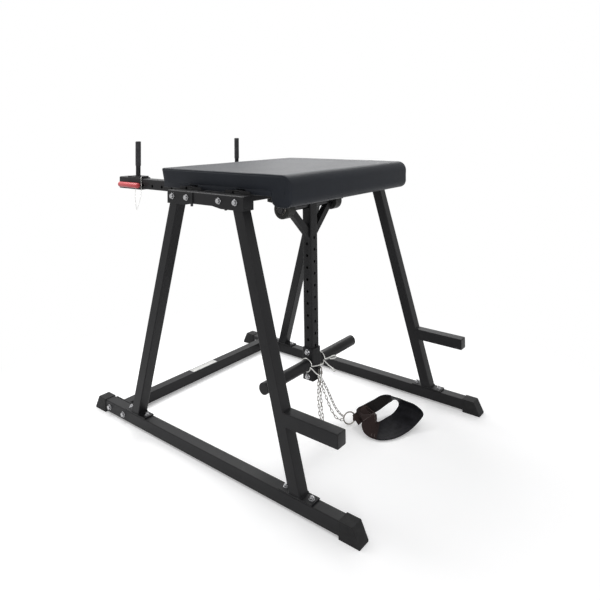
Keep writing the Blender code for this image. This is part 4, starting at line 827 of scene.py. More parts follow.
@dataclass(frozen=True)
class StrapHardware:
    """Quick link at the eye and the round ring at the strap."""

    link_wire: float = 5.0 * MM
    link_half: float = 8.0 * MM
    link_top: float = 0.2533
    link_height: float = 50.0 * MM
    nut_apothem: float = 4.4 * MM
    nut_levels: Pairs = ((-6 * MM, 1.0), (-5.2 * MM, 1.2), (5.2 * MM, 1.2), (6 * MM, 1.0))
    ring_wire: float = 6.0 * MM

    def build(self) -> None:
        """Make both rings."""
        angle = circle(64)
        low, high = self.link_top - self.link_height + self.link_half, self.link_top - self.link_half
        x = EYE_X + self.link_half * np.cos(angle)
        z = np.where(np.sin(angle) >= 0, high, low) + self.link_half * np.sin(angle)
        loop = evenly(np.stack([x, np.full_like(x, EYE_Y), z], axis=1), 96, closed=True)
        link = Sculpt().grid(tube(loop, self.link_wire / 2, 14, closed=True), loop=True)
        centre = (EYE_X + self.link_half, EYE_Y, (low + high) / 2)
        link.grid(hexagon(centre, (X_WAY, Y_WAY, Z_WAY), self.nut_apothem, self.nut_levels, 36))
        link.build("quick_link", CHAIN_STEEL, STRAP, "snap_ring")
        ring = hoop(RING_CENTRE, RING_RADIUS, RING_WAY, Z_WAY)
        ring = Sculpt().grid(tube(ring, self.ring_wire / 2, 16, closed=True), loop=True)
        ring.build("round_ring", CHAIN_STEEL, STRAP, "strap_ring")


@dataclass(frozen=True)
class AnkleStrap:
    """Cuff between two rims: webbing that stands on edge at the ring, and a wide pad that opens like a bowl."""

    outer_rim: Points = (
        (0.354, 0.105, 0.060), (0.361, 0.160, 0.064), (0.382, 0.209, 0.074), (0.400, 0.242, 0.084),
        (0.433, 0.249, 0.092), (0.482, 0.244, 0.096), (0.539, 0.245, 0.094), (0.578, 0.257, 0.084),
        (0.611, 0.259, 0.058), (0.601, 0.226, 0.030), (0.586, 0.164, 0.013), (0.563, 0.093, 0.007),
        (0.524, 0.042, 0.006), (0.478, 0.026, 0.008), (0.440, 0.028, 0.017), (0.418, 0.043, 0.035),
        (0.410, 0.061, 0.052))
    inner_rim: Points = (
        (0.374, 0.128, 0.012), (0.381, 0.175, 0.016), (0.400, 0.216, 0.024), (0.412, 0.259, 0.034),
        (0.423, 0.288, 0.044), (0.446, 0.295, 0.060), (0.470, 0.282, 0.062), (0.480, 0.268, 0.056),
        (0.480, 0.254, 0.046), (0.478, 0.233, 0.038), (0.475, 0.208, 0.033), (0.469, 0.177, 0.032),
        (0.467, 0.141, 0.034), (0.467, 0.108, 0.040), (0.471, 0.087, 0.052), (0.471, 0.088, 0.068),
        (0.460, 0.090, 0.080))
    wall: float = 8.0 * MM
    bulge: float = 7.0 * MM
    per_span: int = 16
    station_length: float = 45.0 * MM
    rim_gap: float = 90.0 * MM
    tab_height: float = 28.0 * MM
    tab_reach: float = 30.0 * MM
    tab_half: float = 2.6 * MM
    ends: Points = ((0.346, 0.080, 0.041), (0.3745, 0.085, 0.0045))

    def wall_at(self, station: Array, sideways: Array, up: Array) -> Array:
        """Points of the cuff's wall.

        A place is the inner rim plus its share of the way to the outer rim, then moved out of the loop by its own
        distance and by a bow that is fullest midway between the rims.

        Args:
            station: place along the loop, counted in rim points, which may be past its end.
            sideways: distance from the wall's middle, out of the loop.
            up: share of the way from the inner rim to the outer rim.

        Returns:
            The points.
        """
        outer, inner = (through(rim, True, self.per_span) for rim in (self.outer_rim, self.inner_rim))
        middle = (outer + inner) / 2
        out = unit(np.cross(np.roll(middle, -4, axis=0) - np.roll(middle, 4, axis=0), inner - outer))
        agrees = np.sign((out * np.roll(out, 1, axis=0)).sum(axis=1))
        agrees[0] = np.sign(out[0] @ (middle[0] - middle.mean(axis=0)))
        out = out * np.cumprod(agrees)[:, None]
        width = np.linalg.norm(outer - inner, axis=1)
        bow = self.bulge * np.clip(width / width[0] - 1, 0.0, 1.0)
        place = (station * self.per_span) % len(middle)
        low = np.floor(place).astype(int) % len(middle)
        high = (low + 1) % len(middle)
        part = (place - np.floor(place))[..., None]

        def at(rows: Array) -> Array:
            """Rows between two stations."""
            return rows[low] * (1 - part) + rows[high] * part

        swell = at(bow[:, None])[..., 0] * 4 * up * (1 - up)
        return at(inner) + (at(outer) - at(inner)) * up[..., None] + unit(at(out)) * (sideways + swell)[..., None]

    def pad(self) -> None:
        """The wall: a flat oval section with bound edges, soft waves and a few deep creases in the bowl."""
        spans = len(self.outer_rim)
        turn = circle(48)[None, :]
        station = (np.arange(spans * self.per_span) / self.per_span)[:, None]
        side = np.sign(np.cos(turn)) * np.abs(np.cos(turn)) ** 0.5
        up = 0.5 + 0.5 * np.sign(np.sin(turn)) * np.abs(np.sin(turn)) ** 0.8
        place = 2 * math.pi * station / spans
        wave = 0.6 * np.sin(9 * place + 5 * up) + 0.5 * np.sin(15 * place - 8 * up + 1.0)
        bowl = bump(station, 9.0, 3.4, 4)
        crease = bump(up, 0.35 + 0.05 * np.sin(3 * place), 0.05)
        crease = crease + bump(up, 0.68 + 0.06 * np.sin(4 * place + 1.0), 0.06)
        bound = bump(up, 0.95, 0.04) + bump(up, 0.05, 0.04)
        half = self.wall / 2 * (0.84 + 0.14 * bound)
        sideways = side * half + MM * (0.7 * wave * np.sin(math.pi * up) + 1.3 * bowl * crease)
        station, sideways, up = np.broadcast_arrays(station, sideways, up)
        uv = np.stack([station * self.station_length, up * self.rim_gap], axis=-1)
        pad = Sculpt().grid(self.wall_at(station, sideways, up), loop=True, uv=uv)
        piece = pad.build("ankle_pad", PAD_CLOTH, STRAP, "ankle_strap")

    def strip(self, name: str, finish: Finish, stations: Pair, rise: Pair, out: float, thick: float,
              slant: Pair = (0.0, 0.0)) -> None:
        """Flat webbing that follows the wall between two stations.

        Args:
            name: the piece's name.
            finish: its finish.
            stations: where it starts and ends along the loop.
            rise: where its two edges lie, from 0 at the inner rim to 1 at the outer.
            out: distance of its middle from the wall's middle, out of the loop.
            thick: its thickness.
            slant: how many stations each end shifts at the inner rim, falling off as a cube towards the outer.
        """
        ring = rounded(0.5, 0.5, 0.2, 4)
        up = np.broadcast_to(rise[0] + (rise[1] - rise[0]) * (ring[None, :, 1] + 0.5), (64, len(ring)))
        share = np.linspace(0.0, 1.0, 64)[:, None]
        shift = (1 - up) ** 3
        station = (stations[0] + slant[0] * shift) * (1 - share) + (stations[1] + slant[1] * shift) * share
        grid = self.wall_at(station, np.broadcast_to(out + thick * ring[None, :, 0], up.shape), up)
        uv = lattice(travelled(grid[:, 0]), (rise[1] - rise[0]) * 50 * MM * ring[:, 1])
        Sculpt().grid(grid, uv=uv).build(name, finish, STRAP)

    def stitches(self, name: str, start: Pair, end: Pair, out: float, count: int) -> None:
        """A row of short threads on the wall, from one station and rise to another."""
        first, reach = np.array(start), np.array(end) - np.array(start)
        radius = 0.55 * MM * np.sqrt(np.maximum(0.15, 1 - np.linspace(-1.0, 1.0, 6) ** 2))
        sculpt = Sculpt()
        for share in (np.arange(count) + 0.5) / count:
            station, up = (first + reach * (share + np.linspace(-0.3, 0.3, 6)[:, None] / count)).T
            sculpt.grid(tube(self.wall_at(station, np.full(6, out), up), radius, 10))
        sculpt.build(name, THREAD, STRAP)

    def band_end(self) -> None:
        """Front ply of the band's sewn end: straight lines from its cut edge by the ring to the band's own edges."""
        face = self.wall / 2 + 1.6 * MM
        ends = self.wall_at(np.array([0.9, 0.9]), np.array([-face, -face]), np.array([0.98, 0.02]))
        near = np.array(self.ends)
        ring = rounded(0.5, 0.5, 0.12, 4)
        v = (ring[:, 1] + 0.5)[None, :, None]
        u = np.linspace(0.0, 1.0, 40)[:, None, None]
        flat = (near[0] * v + near[1] * (1 - v)) * (1 - u) + (ends[0] * v + ends[1] * (1 - v)) * u
        normal = unit(np.cross(ends[0] - near[1], ends[1] - near[0]))
        ripple = 0.5 * MM * np.sin(3 * math.pi * u) * np.sin(math.pi * v)
        grid = flat + normal * (ring[None, :, 0:1] * 2.4 * MM + ripple)
        uv = lattice(np.linspace(0.0, np.linalg.norm(ends[0] - near[0]), 40), 55 * MM * ring[:, 1])
        # Lightened webbing: painted light on a ply that sits in shade.
        Sculpt().grid(grid, uv=uv).build("band_end", LIGHTENED_WEBBING, STRAP)

    def ring_tab(self) -> None:
        """Webbing looped round the ring's wire: an outline that rounds the wire and narrows to two plies."""
        along = RING_WAY[:2]
        across = np.array([-along[1], along[0]])
        wire = 3.3 * MM
        upright = math.sqrt(RING_RADIUS**2 - (self.tab_height / 2) ** 2)
        back = upright - RING_RADIUS - wire - 1.8 * MM
        bend = np.linspace(-math.pi / 2, -1.5 * math.pi, 15)
        half = wire + 2.0 * MM
        turn = np.stack([back + half * (1 + np.cos(bend)), half * np.sin(bend)], axis=1)
        start, waist = self.tab_reach, wire + 5 * MM
        outline = [(start, -self.tab_half), (waist, -self.tab_half), *turn, (waist, self.tab_half),
                   (start, self.tab_half)]
        flat = evenly(through(outline, per_span=8), 90)
        tangent = unit(np.gradient(flat, axis=0))
        normal = np.stack([-tangent[:, 1], tangent[:, 0]], axis=1)
        section = rounded(0.9 * MM, self.tab_height / 2, 0.7 * MM, 4)
        rim = np.array(RING_CENTRE[:2]) + RING_RADIUS * along
        centre = rim + flat[:, :1] * along + flat[:, 1:] * across
        outward = normal[:, :1] * along + normal[:, 1:] * across
        plan = centre[:, None] + section[None, :, 0, None] * outward[:, None]
        grid = on_axis("Z", RING_CENTRE[2] + section[:, 1], plan)
        uv = lattice(travelled(flat), section[:, 1])
        # Lightened webbing: painted light on a tab that sits in shade.
        Sculpt().grid(grid, uv=uv).build("ring_tab", LIGHTENED_WEBBING, STRAP)

    def build(self) -> None:
        """Make the pad, its webbing and its stitching."""
        self.pad()
        face = self.wall / 2
        self.strip("band_outside", GREY_WEBBING, (-1.3, 4.4), (0.04, 0.96), face + 0.4 * MM, 1.8 * MM)
        self.strip("band_inside", GREY_WEBBING, (-0.6, 4.4), (0.06, 0.94), -face - 0.2 * MM, 1.8 * MM)
        self.strip("band_ply", WEBBING, (-0.55, 1.1), (0.03, 0.97), -face - 1.5 * MM, 1.6 * MM, (0.0, 0.7))
        self.strip("sewn_patch", WEBBING, (12.55, 16.5), (0.02, 0.97), -face - 0.5 * MM, 1.9 * MM, (1.4, 0.0))
        patch, band = -face - 1.6 * MM, -face - 2.6 * MM
        for name, start, end, out, count in (
                ("patch_stitches_right", (12.95, 0.34), (12.75, 0.94), patch, 12),
                ("patch_stitches_inner", (13.35, 0.3), (13.1, 0.94), patch, 12),
                ("patch_stitches_top", (14.1, 0.12), (16.0, 0.12), patch, 10),
                ("patch_stitches_left", (15.9, 0.14), (15.6, 0.9), patch, 12),
                ("band_stitches", (1.45, 0.1), (0.95, 0.9), band, 11),
                ("band_stitches_second", (1.1, 0.1), (0.6, 0.9), band, 11)):
            self.stitches(name, start, end, out, count)
        self.ring_tab()
        self.band_end()


# Pull pins, spring clips and bearing faces


@dataclass(frozen=True)
class PullPin:
    """Red bar with round ends and the plated pin behind it.

    Ends are rows of place along X, length of the rounding and share of the radius that is left flat.
    """

    side: str
    sign: int
    height: float = 1.074
    ends: Points = ((-0.752, 3 * MM, 0.25), (-0.590, -8 * MM, 0.12))
    radius: float = 0.013
    pin_radius: float = 6.0 * MM
    tip_y: float = 0.3813
    ease: float = 1.2 * MM

    def build(self) -> None:
        """Turn the bar about its own length, with elliptical ends, and the pin about Y."""
        body = f"pin_{self.side}"
        turn = np.linspace(0.0, math.pi / 2, 9)
        rear, front = (np.stack([end + depth * (1 - np.cos(turn)), self.radius * (flat + (1 - flat) * np.sin(turn))],
                                axis=1) for end, depth, flat in self.ends)
        bar = turned(np.concatenate([rear, front[::-1]]), (0.0, self.sign * BAR_Y, self.height), X_WAY, 40)
        Sculpt().grid(bar).build(f"red_bar_{self.side}", RED, body, f"pull_pin_{self.side}")
        profile = [(self.tip_y, self.pin_radius - self.ease), (self.tip_y + self.ease, self.pin_radius),
                   (BAR_Y - 9 * MM, self.pin_radius), (BAR_Y - 8 * MM, self.pin_radius)]
        pin = turned(profile, (PIN_X, 0.0, self.height), self.sign * Y_WAY, 28)
        Sculpt().grid(pin).build(f"pin_shank_{self.side}", ZINC, body)


@dataclass(frozen=True)
class SpringClip:
    """Spring wire: a first end, one turn round the sleeve, and an end folded back as a finger loop.

    Loops are rows of the share of the end's reach and the share of the loop's half width across it.
    """

    side: str
    start_y: float
    first_is_loop: bool
    coil_radius: float = 28.2 * MM
    wire: float = 2.5 * MM
    turn: float = math.radians(354.0)
    first: Point = (25.0, 56.0, -1.0)
    straight: Points = (first, (17.0, 24.0, 0.0))
    first_loop: Pairs = ((0.42, -0.5), (0.62, -1.0), (0.9, -1.0), (1.0, 0.0), (0.9, 1.0), (0.62, 1.0), (0.36, 0.3))
    last: Point = (41.0, 32.0, -52.0)
    last_loop: Pairs = ((0.62, 0.4), (0.8, 1.0), (0.95, 0.9), (1.0, 0.0), (0.95, -0.9), (0.8, -1.0), (0.7, -0.8))
    loop_half: float = 6.0 * MM

    def folded(self, start: Array, reach: Array, across: Array, rows: Pairs) -> Array:
        """Points of a loop at an end."""
        return np.array([start + share * reach + self.loop_half * aside * across for share, aside in rows])

    def build(self) -> None:
        """Wire along the same points as the frame's clip, on a smooth curve."""
        share = np.linspace(0.0, 1.0, 23)
        coil = np.stack([PIVOT_X + self.coil_radius * np.cos(self.turn * share),
                         self.start_y + 4 * self.wire * (1 - share),
                         SLEEVE_Z + self.coil_radius * np.sin(self.turn * share)], axis=1)
        lead = coil[0] + np.array(self.straight) * MM
        if self.first_is_loop:
            lead = self.folded(coil[0], np.array(self.first) * MM, Z_WAY, self.first_loop)
        reach = np.array(self.last) * MM
        heading = unit(reach)
        across = unit(np.array([-heading[2], 0.0, heading[0]]))
        tip = self.folded(coil[-1], reach, across, self.last_loop)
        line = evenly(through(np.concatenate([lead, coil, [coil[-1] + 0.45 * reach], tip]), per_span=8), 260)
        radius = np.full(260, self.wire)
        radius[[0, -1]] = 0.6 * self.wire
        wire = Sculpt().grid(tube(line, radius, 12))
        wire.build(f"clip_wire_{self.side}", ZINC, f"clip_{self.side}", f"spring_clip_{self.side}")


@dataclass(frozen=True)
class BearingFace:
    """What shows of a bearing in its housing: a thin bright lip inside a seal, each a ring about the shaft's axis.

    Profiles are rows of distance out of the housing's face and radius, in millimetres.
    """

    side: str
    sign: int
    face: float = 0.2056
    lip: Pairs = ((-1.0, 22.4), (1.2, 22.6), (1.8, 23.2), (1.2, 23.9), (-1.0, 24.2))
    seal: Pairs = ((-1.2, 24.3), (0.2, 24.6), (0.4, 27.0), (0.2, 30.2), (-1.2, 30.4))

    def build(self) -> None:
        """Turn both rings."""
        for name, rows, finish in (("lip", self.lip, CHAIN_STEEL), ("seal", self.seal, SEAL)):
            profile = [(self.face + out * MM, radius * MM) for out, radius in rows]
            ring = Sculpt().grid(turned(profile, (PIVOT_X, 0.0, PIVOT_Z), self.sign * Y_WAY, 64), loop=True)
            ring.build(f"bearing_{name}_{self.side}", finish, FRAME)


# The pad


@dataclass(frozen=True)
class PadCover:
    """Vinyl cover: a crowned top that runs over the front into a nose, and sewn-in side panels."""

    half_width: float = 0.466
    rear: float = -0.326
    front: float = 0.443
    top: float = 1.177
    bottom: float = 1.1063
    nose_back: float = 0.340
    nose_drop: float = 0.058
    nose_radii: Point = (0.046, 0.038, 0.036)
    edge: float = 0.007
    crown: float = 0.003
    slack: float = 0.00035
    draw_in: float = 0.008
    panel_insets: Pair = (0.009, 0.031)
    panel_swell: float = 0.0022
    seam: Pair = (0.0011, 0.0012)
    skirt: float = 0.017
    skirt_wall: float = 0.0115
    skirt_edge: float = 0.0035
    skirt_lap: float = 0.005
    notch_half: float = 0.0253
    notches: Pair = (-0.111, PIVOT_X)

    def outline(self, inset: Array) -> Array:
        """The section from the side for each inset: straight runs joined by quarter turns.

        Args:
            inset: how far the section is drawn in, one value a ring.

        Returns:
            Points, rings by places by X and Z.
        """
        d = inset[:, None]
        rear, front, top, bottom = self.rear + d, self.front - d, self.top - d, self.bottom + d
        low, back = self.bottom - self.nose_drop + d, self.nose_back + d

        def arc(x: Array, z: Array, radius: Array, start: float, steps: int) -> tuple[Array, Array]:
            """Quarter turn clockwise."""
            angle = start - np.linspace(0.0, math.pi / 2, steps)[None, :]
            return x + radius * np.cos(angle), z + radius * np.sin(angle)

        def run(x0: Array, z0: Array, x1: Array, z1: Array, steps: int) -> tuple[Array, Array]:
            """Straight run without its ends."""
            t = np.linspace(0.0, 1.0, steps + 2)[None, 1:-1]
            return x0 + (x1 - x0) * t, z0 + (z1 - z0) * t

        e, n, nl, nb = (np.maximum(radius - d, 0.15 * radius) for radius in (self.edge, *self.nose_radii))
        parts = [
            run(rear + self.draw_in, bottom, rear, top - e, 10),
            arc(rear + e, top - e, e, math.pi, 8),
            run(rear + e, top, front - n, top, 60),
            arc(front - n, top - n, n, math.pi / 2, 22),
            run(front, top - n, front, low + nl, 8),
            arc(front - nl, low + nl, nl, 0.0, 14),
            run(front - nl, low, back + nb, low, 6),
            arc(back + nb, low + nb, nb, -math.pi / 2, 8),
            run(back, low + nb, back, bottom, 8),
            run(back, bottom, rear + self.draw_in, bottom, 40),
        ]
        return np.concatenate([np.stack([x + 0 * z, z + 0 * x], axis=-1) for x, z in parts], axis=1)

    def build(self) -> None:
        """Make the cover.

        The rings run across the machine. At each side a quarter turn of the edge's radius leads into the side panel,
        where the section keeps drawing in while the panel swells a little; a narrow groove marks the seam.
        """
        turn = np.linspace(0.0, math.pi / 2, 9)
        swell = self.panel_swell * np.sin(np.linspace(0.25, 1.0, 9) * math.pi / 2)
        side_y = np.concatenate([self.half_width - self.edge + self.edge * np.sin(turn), self.half_width + swell])
        side_inset = np.concatenate([self.edge * (1 - np.cos(turn)), np.linspace(*self.panel_insets, 9)])
        seam_depth, seam_width = self.seam
        side_y = side_y - seam_depth * bump(side_inset, self.edge, seam_width)
        inner_y = np.linspace(-self.half_width + self.edge, self.half_width - self.edge, 61)[1:-1]
        y = np.concatenate([-side_y[::-1], inner_y, side_y])[:, None]
        inset = np.concatenate([side_inset[::-1], np.zeros_like(inner_y), side_inset])
        x, z = np.moveaxis(self.outline(inset), -1, 0)
        across = 1 - (y / self.half_width) ** 2
        along = np.maximum(0.0, 1 - (2 * (x - self.rear) / (self.front - self.rear) - 1) ** 2)
        height = (z - self.bottom) / (self.top - self.bottom)
        rise = self.crown * np.maximum(across, 0.0) * along * np.maximum(0.0, height) ** 4
        slack = self.slack * np.sin(23 * x + 5 * y) * np.sin(17 * y - 6 * x + 1.3) * np.clip(height, 0.0, 1.0) ** 3
        lean = 1 - self.draw_in / self.half_width * np.clip(1 - height, 0.0, 1.0)
        cover = Sculpt().grid(np.stack([x, y * lean, z + rise + slack], axis=-1))
        cover.build("pad_cover", VINYL, FRAME, "pad_cushion")
        for side, sign in SIDES:
            self.side_panel_edge(side, sign)

    def side_panel_edge(self, side: str, sign: int) -> None:
        """Lower edge of a side panel, wrapped round the board and cut away over the cross tubes."""
        outer = self.half_width - self.draw_in - 0.1 * MM
        half_v = self.skirt / 2 + self.skirt_lap
        ring = rounded(self.skirt_wall / 2, half_v, self.skirt_edge)
        ring = ring + np.array([sign * (outer - self.skirt_wall / 2), self.bottom - self.skirt + half_v])
        first, second = self.notches
        sculpt = Sculpt()
        for start, end in ((self.rear + self.draw_in + 1 * MM, first - self.notch_half),
                           (first + self.notch_half, second - self.notch_half),
                           (second + self.notch_half, self.nose_back + 1 * MM)):
            sculpt.grid(slab(ring, "X", start, end, 2 * MM))
        sculpt.build(f"side_panel_edge_{side}", VINYL, FRAME)


# Fasteners


@dataclass(frozen=True)
class HexBolt:
    """Bolt or nut forms on a straight axis."""

    apothem: float = 8.8 * MM
    head: float = 7.5 * MM
    washer_radius: float = 12.8 * MM
    washer: float = 2.5 * MM
    nut: float = 9.0 * MM
    shank_radius: float = 6.0 * MM
    ease: float = 0.4 * MM
    gap: float = 0.05 * MM
    caps: Pairs = ((0.0, 1.14), (0.06, 1.2), (0.8, 1.2), (0.93, 1.06), (1.0, 0.94))

    def add_head(self, sculpt: Sculpt, centre: Sequence[float], axis: Array, low: float, high: float) -> Sculpt:
        """Hexagonal head from one place on the axis to another, closed in towards its end."""
        levels = [(low + (high - low) * share, cap) for share, cap in self.caps]
        return sculpt.grid(hexagon(centre, (*square_to(axis), axis), self.apothem, levels, 48))

    def add_washer(self, sculpt: Sculpt, centre: Sequence[float], axis: Array, low: float, high: float) -> None:
        """Flat washer with eased rims."""
        inner = self.washer_radius - self.ease
        profile = [(low, inner), (low + self.ease, self.washer_radius), (high - self.ease, self.washer_radius),
                   (high, inner)]
        sculpt.grid(turned(profile, centre, axis, 40))

    def across(self, node: str, outward: int, body: str) -> None:
        """A through bolt in the place of a frame node: washer and head outside, nut with a collar inside.

        Args:
            node: the frame's bolt.
            outward: 1 where the head is at +Y, otherwise -1.
            body: the body that it rides on.
        """
        low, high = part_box(node)
        middle = ((low.x + high.x) / 2, 0.0, (low.z + high.z) / 2)
        axis = outward * Y_WAY
        outer, inner = (high.y, low.y) if outward > 0 else (-low.y, -high.y)
        face, nut, seat = outer - self.head, inner + self.nut, outer - self.head - self.washer
        sculpt = self.add_head(Sculpt(), middle, axis, face, outer)
        self.add_washer(sculpt, middle, axis, seat, face - self.gap)
        sculpt.grid(turned([(nut, self.shank_radius), (seat, self.shank_radius)], middle, axis, 24))
        self.add_head(sculpt, middle, -axis, -nut + self.gap, -inner - 2 * MM)
        collar = [(inner + 2 * MM, 7.6 * MM), (inner + 0.8 * MM, 7.4 * MM), (inner, 6.6 * MM)]
        sculpt.grid(turned(collar, middle, axis, 32)).build(f"{node}_hex", BOLT_ZINC, body, node)

    def upright(self, name: str, centre: Point, up: int) -> None:
        """A head and washer on a level face, standing up or hanging down, with the thread's end past them."""
        axis = up * Z_WAY
        end = self.washer + self.head
        sculpt = Sculpt()
        self.add_washer(sculpt, centre, axis, self.gap, self.washer)
        self.add_head(sculpt, centre, axis, self.washer + self.gap, end)
        tip = [(end, 5.0 * MM), (end + 3.5 * MM, 5.0 * MM), (end + 4.3 * MM, 4.2 * MM)]
        sculpt.grid(turned(tip, centre, axis, 24)).build(name, SHAFT if up < 0 else BOLT_ZINC, FRAME)


@dataclass(frozen=True)
class Fasteners:
    """The frame's through bolts, and the small bolts and screws that its own source leaves out.

    Uprights are rows of name, middle of a pair along X, half of its spacing, Y, Z and which way the heads point.
    """

    through: HexBolt = HexBolt()
    small: HexBolt = HexBolt(apothem=8.0 * MM, head=6.5 * MM, washer_radius=11.0 * MM, washer=2.0 * MM)
    screw: HexBolt = HexBolt(apothem=5.2 * MM)
    screw_depth: Pair = (-0.5 * MM, 12.0 * MM)
    uprights: tuple[tuple[str, float, float, float, float, int], ...] = (
        ("plate_bolt_rear", -0.430, 0.058, TRACK, 0.0633, 1), ("plate_bolt_front", 0.510, 0.058, TRACK, 0.0633, 1),
        ("bearing_bolt", PIVOT_X, 0.0605, 0.1816, PIVOT_Z + 0.026, -1))
    screws: Pair = (-0.039, 0.165)
    screw_y: float = 0.530
    screw_z: float = 1.0430

    def build(self) -> None:
        """Make every through bolt, then the bolts on base plates and bearings, and the screws under the brackets."""
        for side, sign in SIDES:
            for kind, count in (("rail", 2), ("beam", 4)):
                for number in range(1, count + 1):
                    self.through.across(f"{kind}_bolt_{side}_{number}", sign, FRAME)
        for number in (1, 2):
            self.through.across(f"upright_bolt_{number}", -1, PENDULUM)
        for side, sign in SIDES:
            for name, x, spread, y, z, up in self.uprights:
                for number, way in ((1, -1), (2, 1)):
                    self.small.upright(f"{name}_{side}_{number}", (x + way * spread, sign * y, z), up)
            for number, x in enumerate(self.screws, start=1):
                piece = self.screw.add_head(Sculpt(), (x, sign * self.screw_y, self.screw_z), -Z_WAY, *self.screw_depth)
                piece.build(f"bracket_screw_{side}_{number}", SHAFT, FRAME)


# Small trim of the frame


@dataclass(frozen=True)
class TubePlugs:
    """Black plastic plugs pushed into open square tube ends, each with a shallow dome, and flat step caps."""

    half: float = 21.6 * MM
    corner: float = 3.5 * MM
    dome: float = 1.6 * MM
    shares: tuple[float, ...] = (1.0, 1.0, 0.985, 0.95, 0.8, 0.5, 0.15)
    rises: tuple[float, ...] = (-9.0 * MM, -0.8 * MM, -0.3 * MM, 0.0, 0.5 * dome, 0.85 * dome, dome)
    beam: Pair = (-0.183, 1.068)
    handle: Pair = (-0.772, 1.081)
    cross_ends: Pair = (-0.111, PIVOT_X)
    cross: Pair = (0.4815, 1.081)
    step: Pair = (0.6975, 0.311)
    caps: tuple[tuple[str, float, float, float, Finish], ...] = (
        ("seam", 24.3 * MM, 0.0, 0.35 * MM, SEAL), ("cap", 22.6 * MM, 0.3 * MM, 1.3 * MM, PLASTIC))

    def plug(self, name: str, axis: str, face: float, outward: int, middle: Pair) -> None:
        """Rings of a rounded square, drawn in near its face by a circle's quarter, over a shallow dome.

        Args:
            name: the piece's name.
            axis: the tube's axis.
            face: where the tube ends along it.
            outward: which way the tube ends.
            middle: the tube's middle across the axis.
        """
        share, rise = np.array(self.shares), np.array(self.rises) - self.dome - 0.2 * MM
        flat = np.array(middle) + share[:, None, None] * rounded(self.half, self.half, self.corner)
        Sculpt().grid(on_axis(axis, (face + outward * rise)[:, None], flat)).build(name, PLASTIC, FRAME)

    def build(self) -> None:
        """Close the beams, the handle tubes and the cross tubes, and cap the steps over a seam that shows."""
        for side, sign in SIDES:
            for part, half, low, high, finish in self.caps:
                outline = np.array([sign * TRACK, self.step[1]]) + rounded(half, half, self.corner)
                cap = slab(outline, "X", self.step[0] + low, self.step[0] + high, 0.15 * MM)
                Sculpt().grid(cap).build(f"step_end_{side}_{part}", finish, FRAME)
            for name, y, (x, z) in (("beam", TRACK, self.beam), ("handle", HANDLE_Y, self.handle)):
                self.plug(f"{name}_plug_{side}", "X", x, -1, (sign * y, z))
            for end, x in zip(("rear", "front"), self.cross_ends):
                self.plug(f"{end}_cross_plug_{side}", "Y", sign * self.cross[0], sign, (x, self.cross[1]))


@dataclass(frozen=True)
class Welds:
    """Weld beads: round wire along a closed seam whose radius ripples as the torch steps."""

    radius: float = 2.1 * MM
    ripple: float = 4.0 * MM
    clear: float = 0.8 * MM
    lift: float = 0.9 * MM
    feet: Pairs = ((-0.430, -0.148), (0.510, 0.239))
    leg_low: float = 58.3 * MM
    leg_high: float = 1.0367
    plate_top: float = 63.3 * MM
    post_z: float = 1.1178
    post_radius: float = 12.8 * MM
    sleeve_y: float = 31.2 * MM
    sleeve_radius: float = 25.8 * MM

    def bead(self, name: str, seam: Array, body: str) -> None:
        """One bead along a closed seam."""
        line = evenly(seam, 220, closed=True)
        steps = max(8, round(travelled(np.vstack([line, line[:1]]))[-1] / self.ripple))
        radius = self.radius * (1 + 0.13 * np.sin(steps * circle(220)) + 0.1 * np.sin(3 * circle(220) + 0.7))
        Sculpt().grid(tube(line, radius, 10, closed=True), loop=True).build(name, POWDER, body)

    def square(self, axis: str, along: float, middle: Pair, half_u: float) -> Array:
        """Seam round a rectangular tube: a rounded rectangle across the axis."""
        outline = rounded(half_u + self.clear, TUBE_HALF + self.clear, 4 * MM, 6)
        return on_axis(axis, along, np.array(middle) + outline)

    def build(self) -> None:
        """Weld the legs, the handle tubes, the handle posts and the weight sleeves."""
        rise = self.leg_high - self.leg_low
        for side, sign in SIDES:
            for end, (foot_x, top_x) in zip(("rear", "front"), self.feet):
                x = foot_x + (top_x - foot_x) * (self.plate_top - self.leg_low) / rise
                wide = TUBE_HALF * math.hypot(1.0, (top_x - foot_x) / rise)
                seam = self.square("Z", self.plate_top + self.lift, (x, sign * TRACK), wide)
                self.bead(f"leg_weld_{end}_{side}", seam, FRAME)
            low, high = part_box(f"handle_tube_{side}")
            middle = ((low.y + high.y) / 2, (low.z + high.z) / 2)
            self.bead(f"handle_weld_{side}", self.square("X", high.x - self.lift, middle, TUBE_HALF), FRAME)
            post = hoop((PIN_X, sign * HANDLE_Y, self.post_z), self.post_radius, X_WAY, Y_WAY)
            self.bead(f"post_weld_{side}", post, f"handle_{side}")
            sleeve = hoop((PIVOT_X, sign * self.sleeve_y, SLEEVE_Z), self.sleeve_radius, X_WAY, Z_WAY)
            self.bead(f"sleeve_weld_{side}", sleeve, PENDULUM)


@dataclass(frozen=True)
class BlankPlate:
    """Blank metal plate on the crossmember's top face: a pale rim round a greyer middle.

    Layers are rows of name, inset, corner, low and high face, edge and finish, in millimetres.
    """

    middle: Pair = (-0.571, 0.0)
    half: Pair = (0.0185, 0.0845)
    face_z: float = 58.1 * MM
    layers: tuple[tuple[str, float, float, float, float, float, Finish], ...] = (
        ("blank_plate", 0.0, 2.5, 0.0, 0.7, 0.2, BLANK), ("blank_panel", 5.0, 1.5, 0.6, 0.9, 0.1, ZINC))

    def build(self) -> None:
        """Make the rim as a plate and the middle as a thinner one on it."""
        for name, inset, corner, low, high, edge, finish in self.layers:
            half_x, half_y = (half - inset * MM for half in self.half)
            outline = np.array(self.middle) + rounded(half_x, half_y, corner * MM)
            layer = slab(outline, "Z", self.face_z + low * MM, self.face_z + high * MM, edge * MM)
            Sculpt().grid(layer).build(name, finish, FRAME)


# Frame nodes that keep their own shape


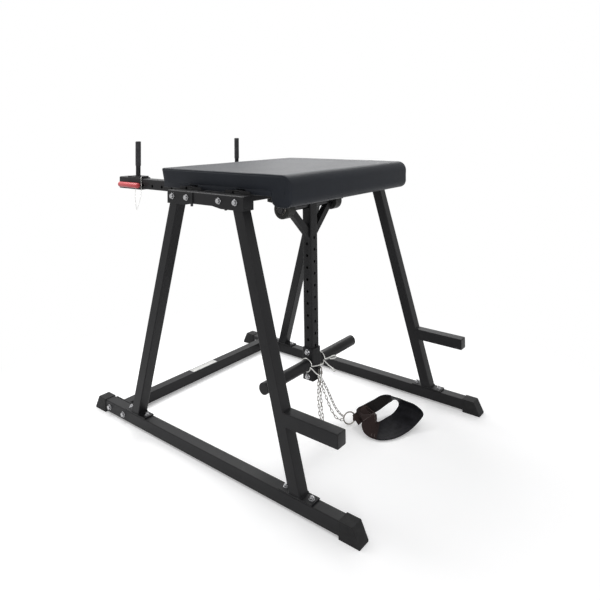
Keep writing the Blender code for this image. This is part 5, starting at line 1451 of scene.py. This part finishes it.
@dataclass(frozen=True)
class KeptNodes:
    """Frame nodes whose shape is right: they get a finish and slightly rounded edges.

    Rows are finish, edge radius in millimetres, nodes on both sides and single nodes.
    """

    rows: tuple[tuple[Finish, float, str, str], ...] = (
        (POWDER, 0.8, "base_rail rear_leg front_leg top_beam handle_tube handle_carriage weight_sleeve",
         "rear_crossmember rear_cross_tube front_cross_tube pendulum_upright weight_carrier"),
        (RUBBER, 1.6, "rear_foot front_foot", ""),
        (PLASTIC, 0.8, "sleeve_plug", ""),
        (CASTING, 1.4, "bearing_housing", ""),
        (SHAFT, 0.3, "bearing_ring", ""),
        (GRIP, 0.8, "handle_grip", ""),
        (SHAFT, 0.2, "", "pivot_shaft"),
        (PLY, 0.8, "", "pad_board"),
    )

    def dress(self, name: str, finish: Finish, width: float) -> None:
        """Give one node its finish, merge its loose triangles, round its sharp edges and even out its shading."""
        node = bpy.data.objects[name]
        node.data.materials.clear()
        node.data.materials.append(finish.material())
        node.modifiers.new("merge", "WELD").merge_threshold = 0.01 * MM
        bevel = node.modifiers.new("edges", "BEVEL")
        bevel.width, bevel.segments = width, 2
        bevel.limit_method, bevel.angle_limit = "ANGLE", math.radians(50.0)
        bevel.use_clamp_overlap = True
        node.data.polygons.foreach_set("use_smooth", np.ones(len(node.data.polygons), bool))
        shading = node.modifiers.new("shading", "WEIGHTED_NORMAL")
        shading.keep_sharp, shading.weight = True, 80

    def build(self) -> None:
        """Dress them all."""
        for finish, width, paired, single in self.rows:
            names = [f"{name}_{side}" for name in paired.split() for side, _ in SIDES] + single.split()
            for name in names:
                self.dress(name, finish, width * MM)


def main() -> None:
    """Build the scene."""
    logging.basicConfig(level=logging.INFO, format="%(message)s")
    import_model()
    PhotoCamera().build()
    PullChains().build()
    for side, sign in SIDES:
        Lanyard(side, sign).build()
    Studio().build()
    StrapHardware().build()
    AnkleStrap().build()
    for (side, sign), clip_y in zip(SIDES, (-46 * MM, 56 * MM)):
        PullPin(side, sign).build()
        SpringClip(side, clip_y, first_is_loop=side == "far").build()
        BearingFace(side, sign).build()
    PadCover().build()
    Fasteners().build()
    TubePlugs().build()
    Welds().build()
    BlankPlate().build()
    KeptNodes().build()
    bpy.context.view_layer.update()


if __name__ == "__main__":
    main()
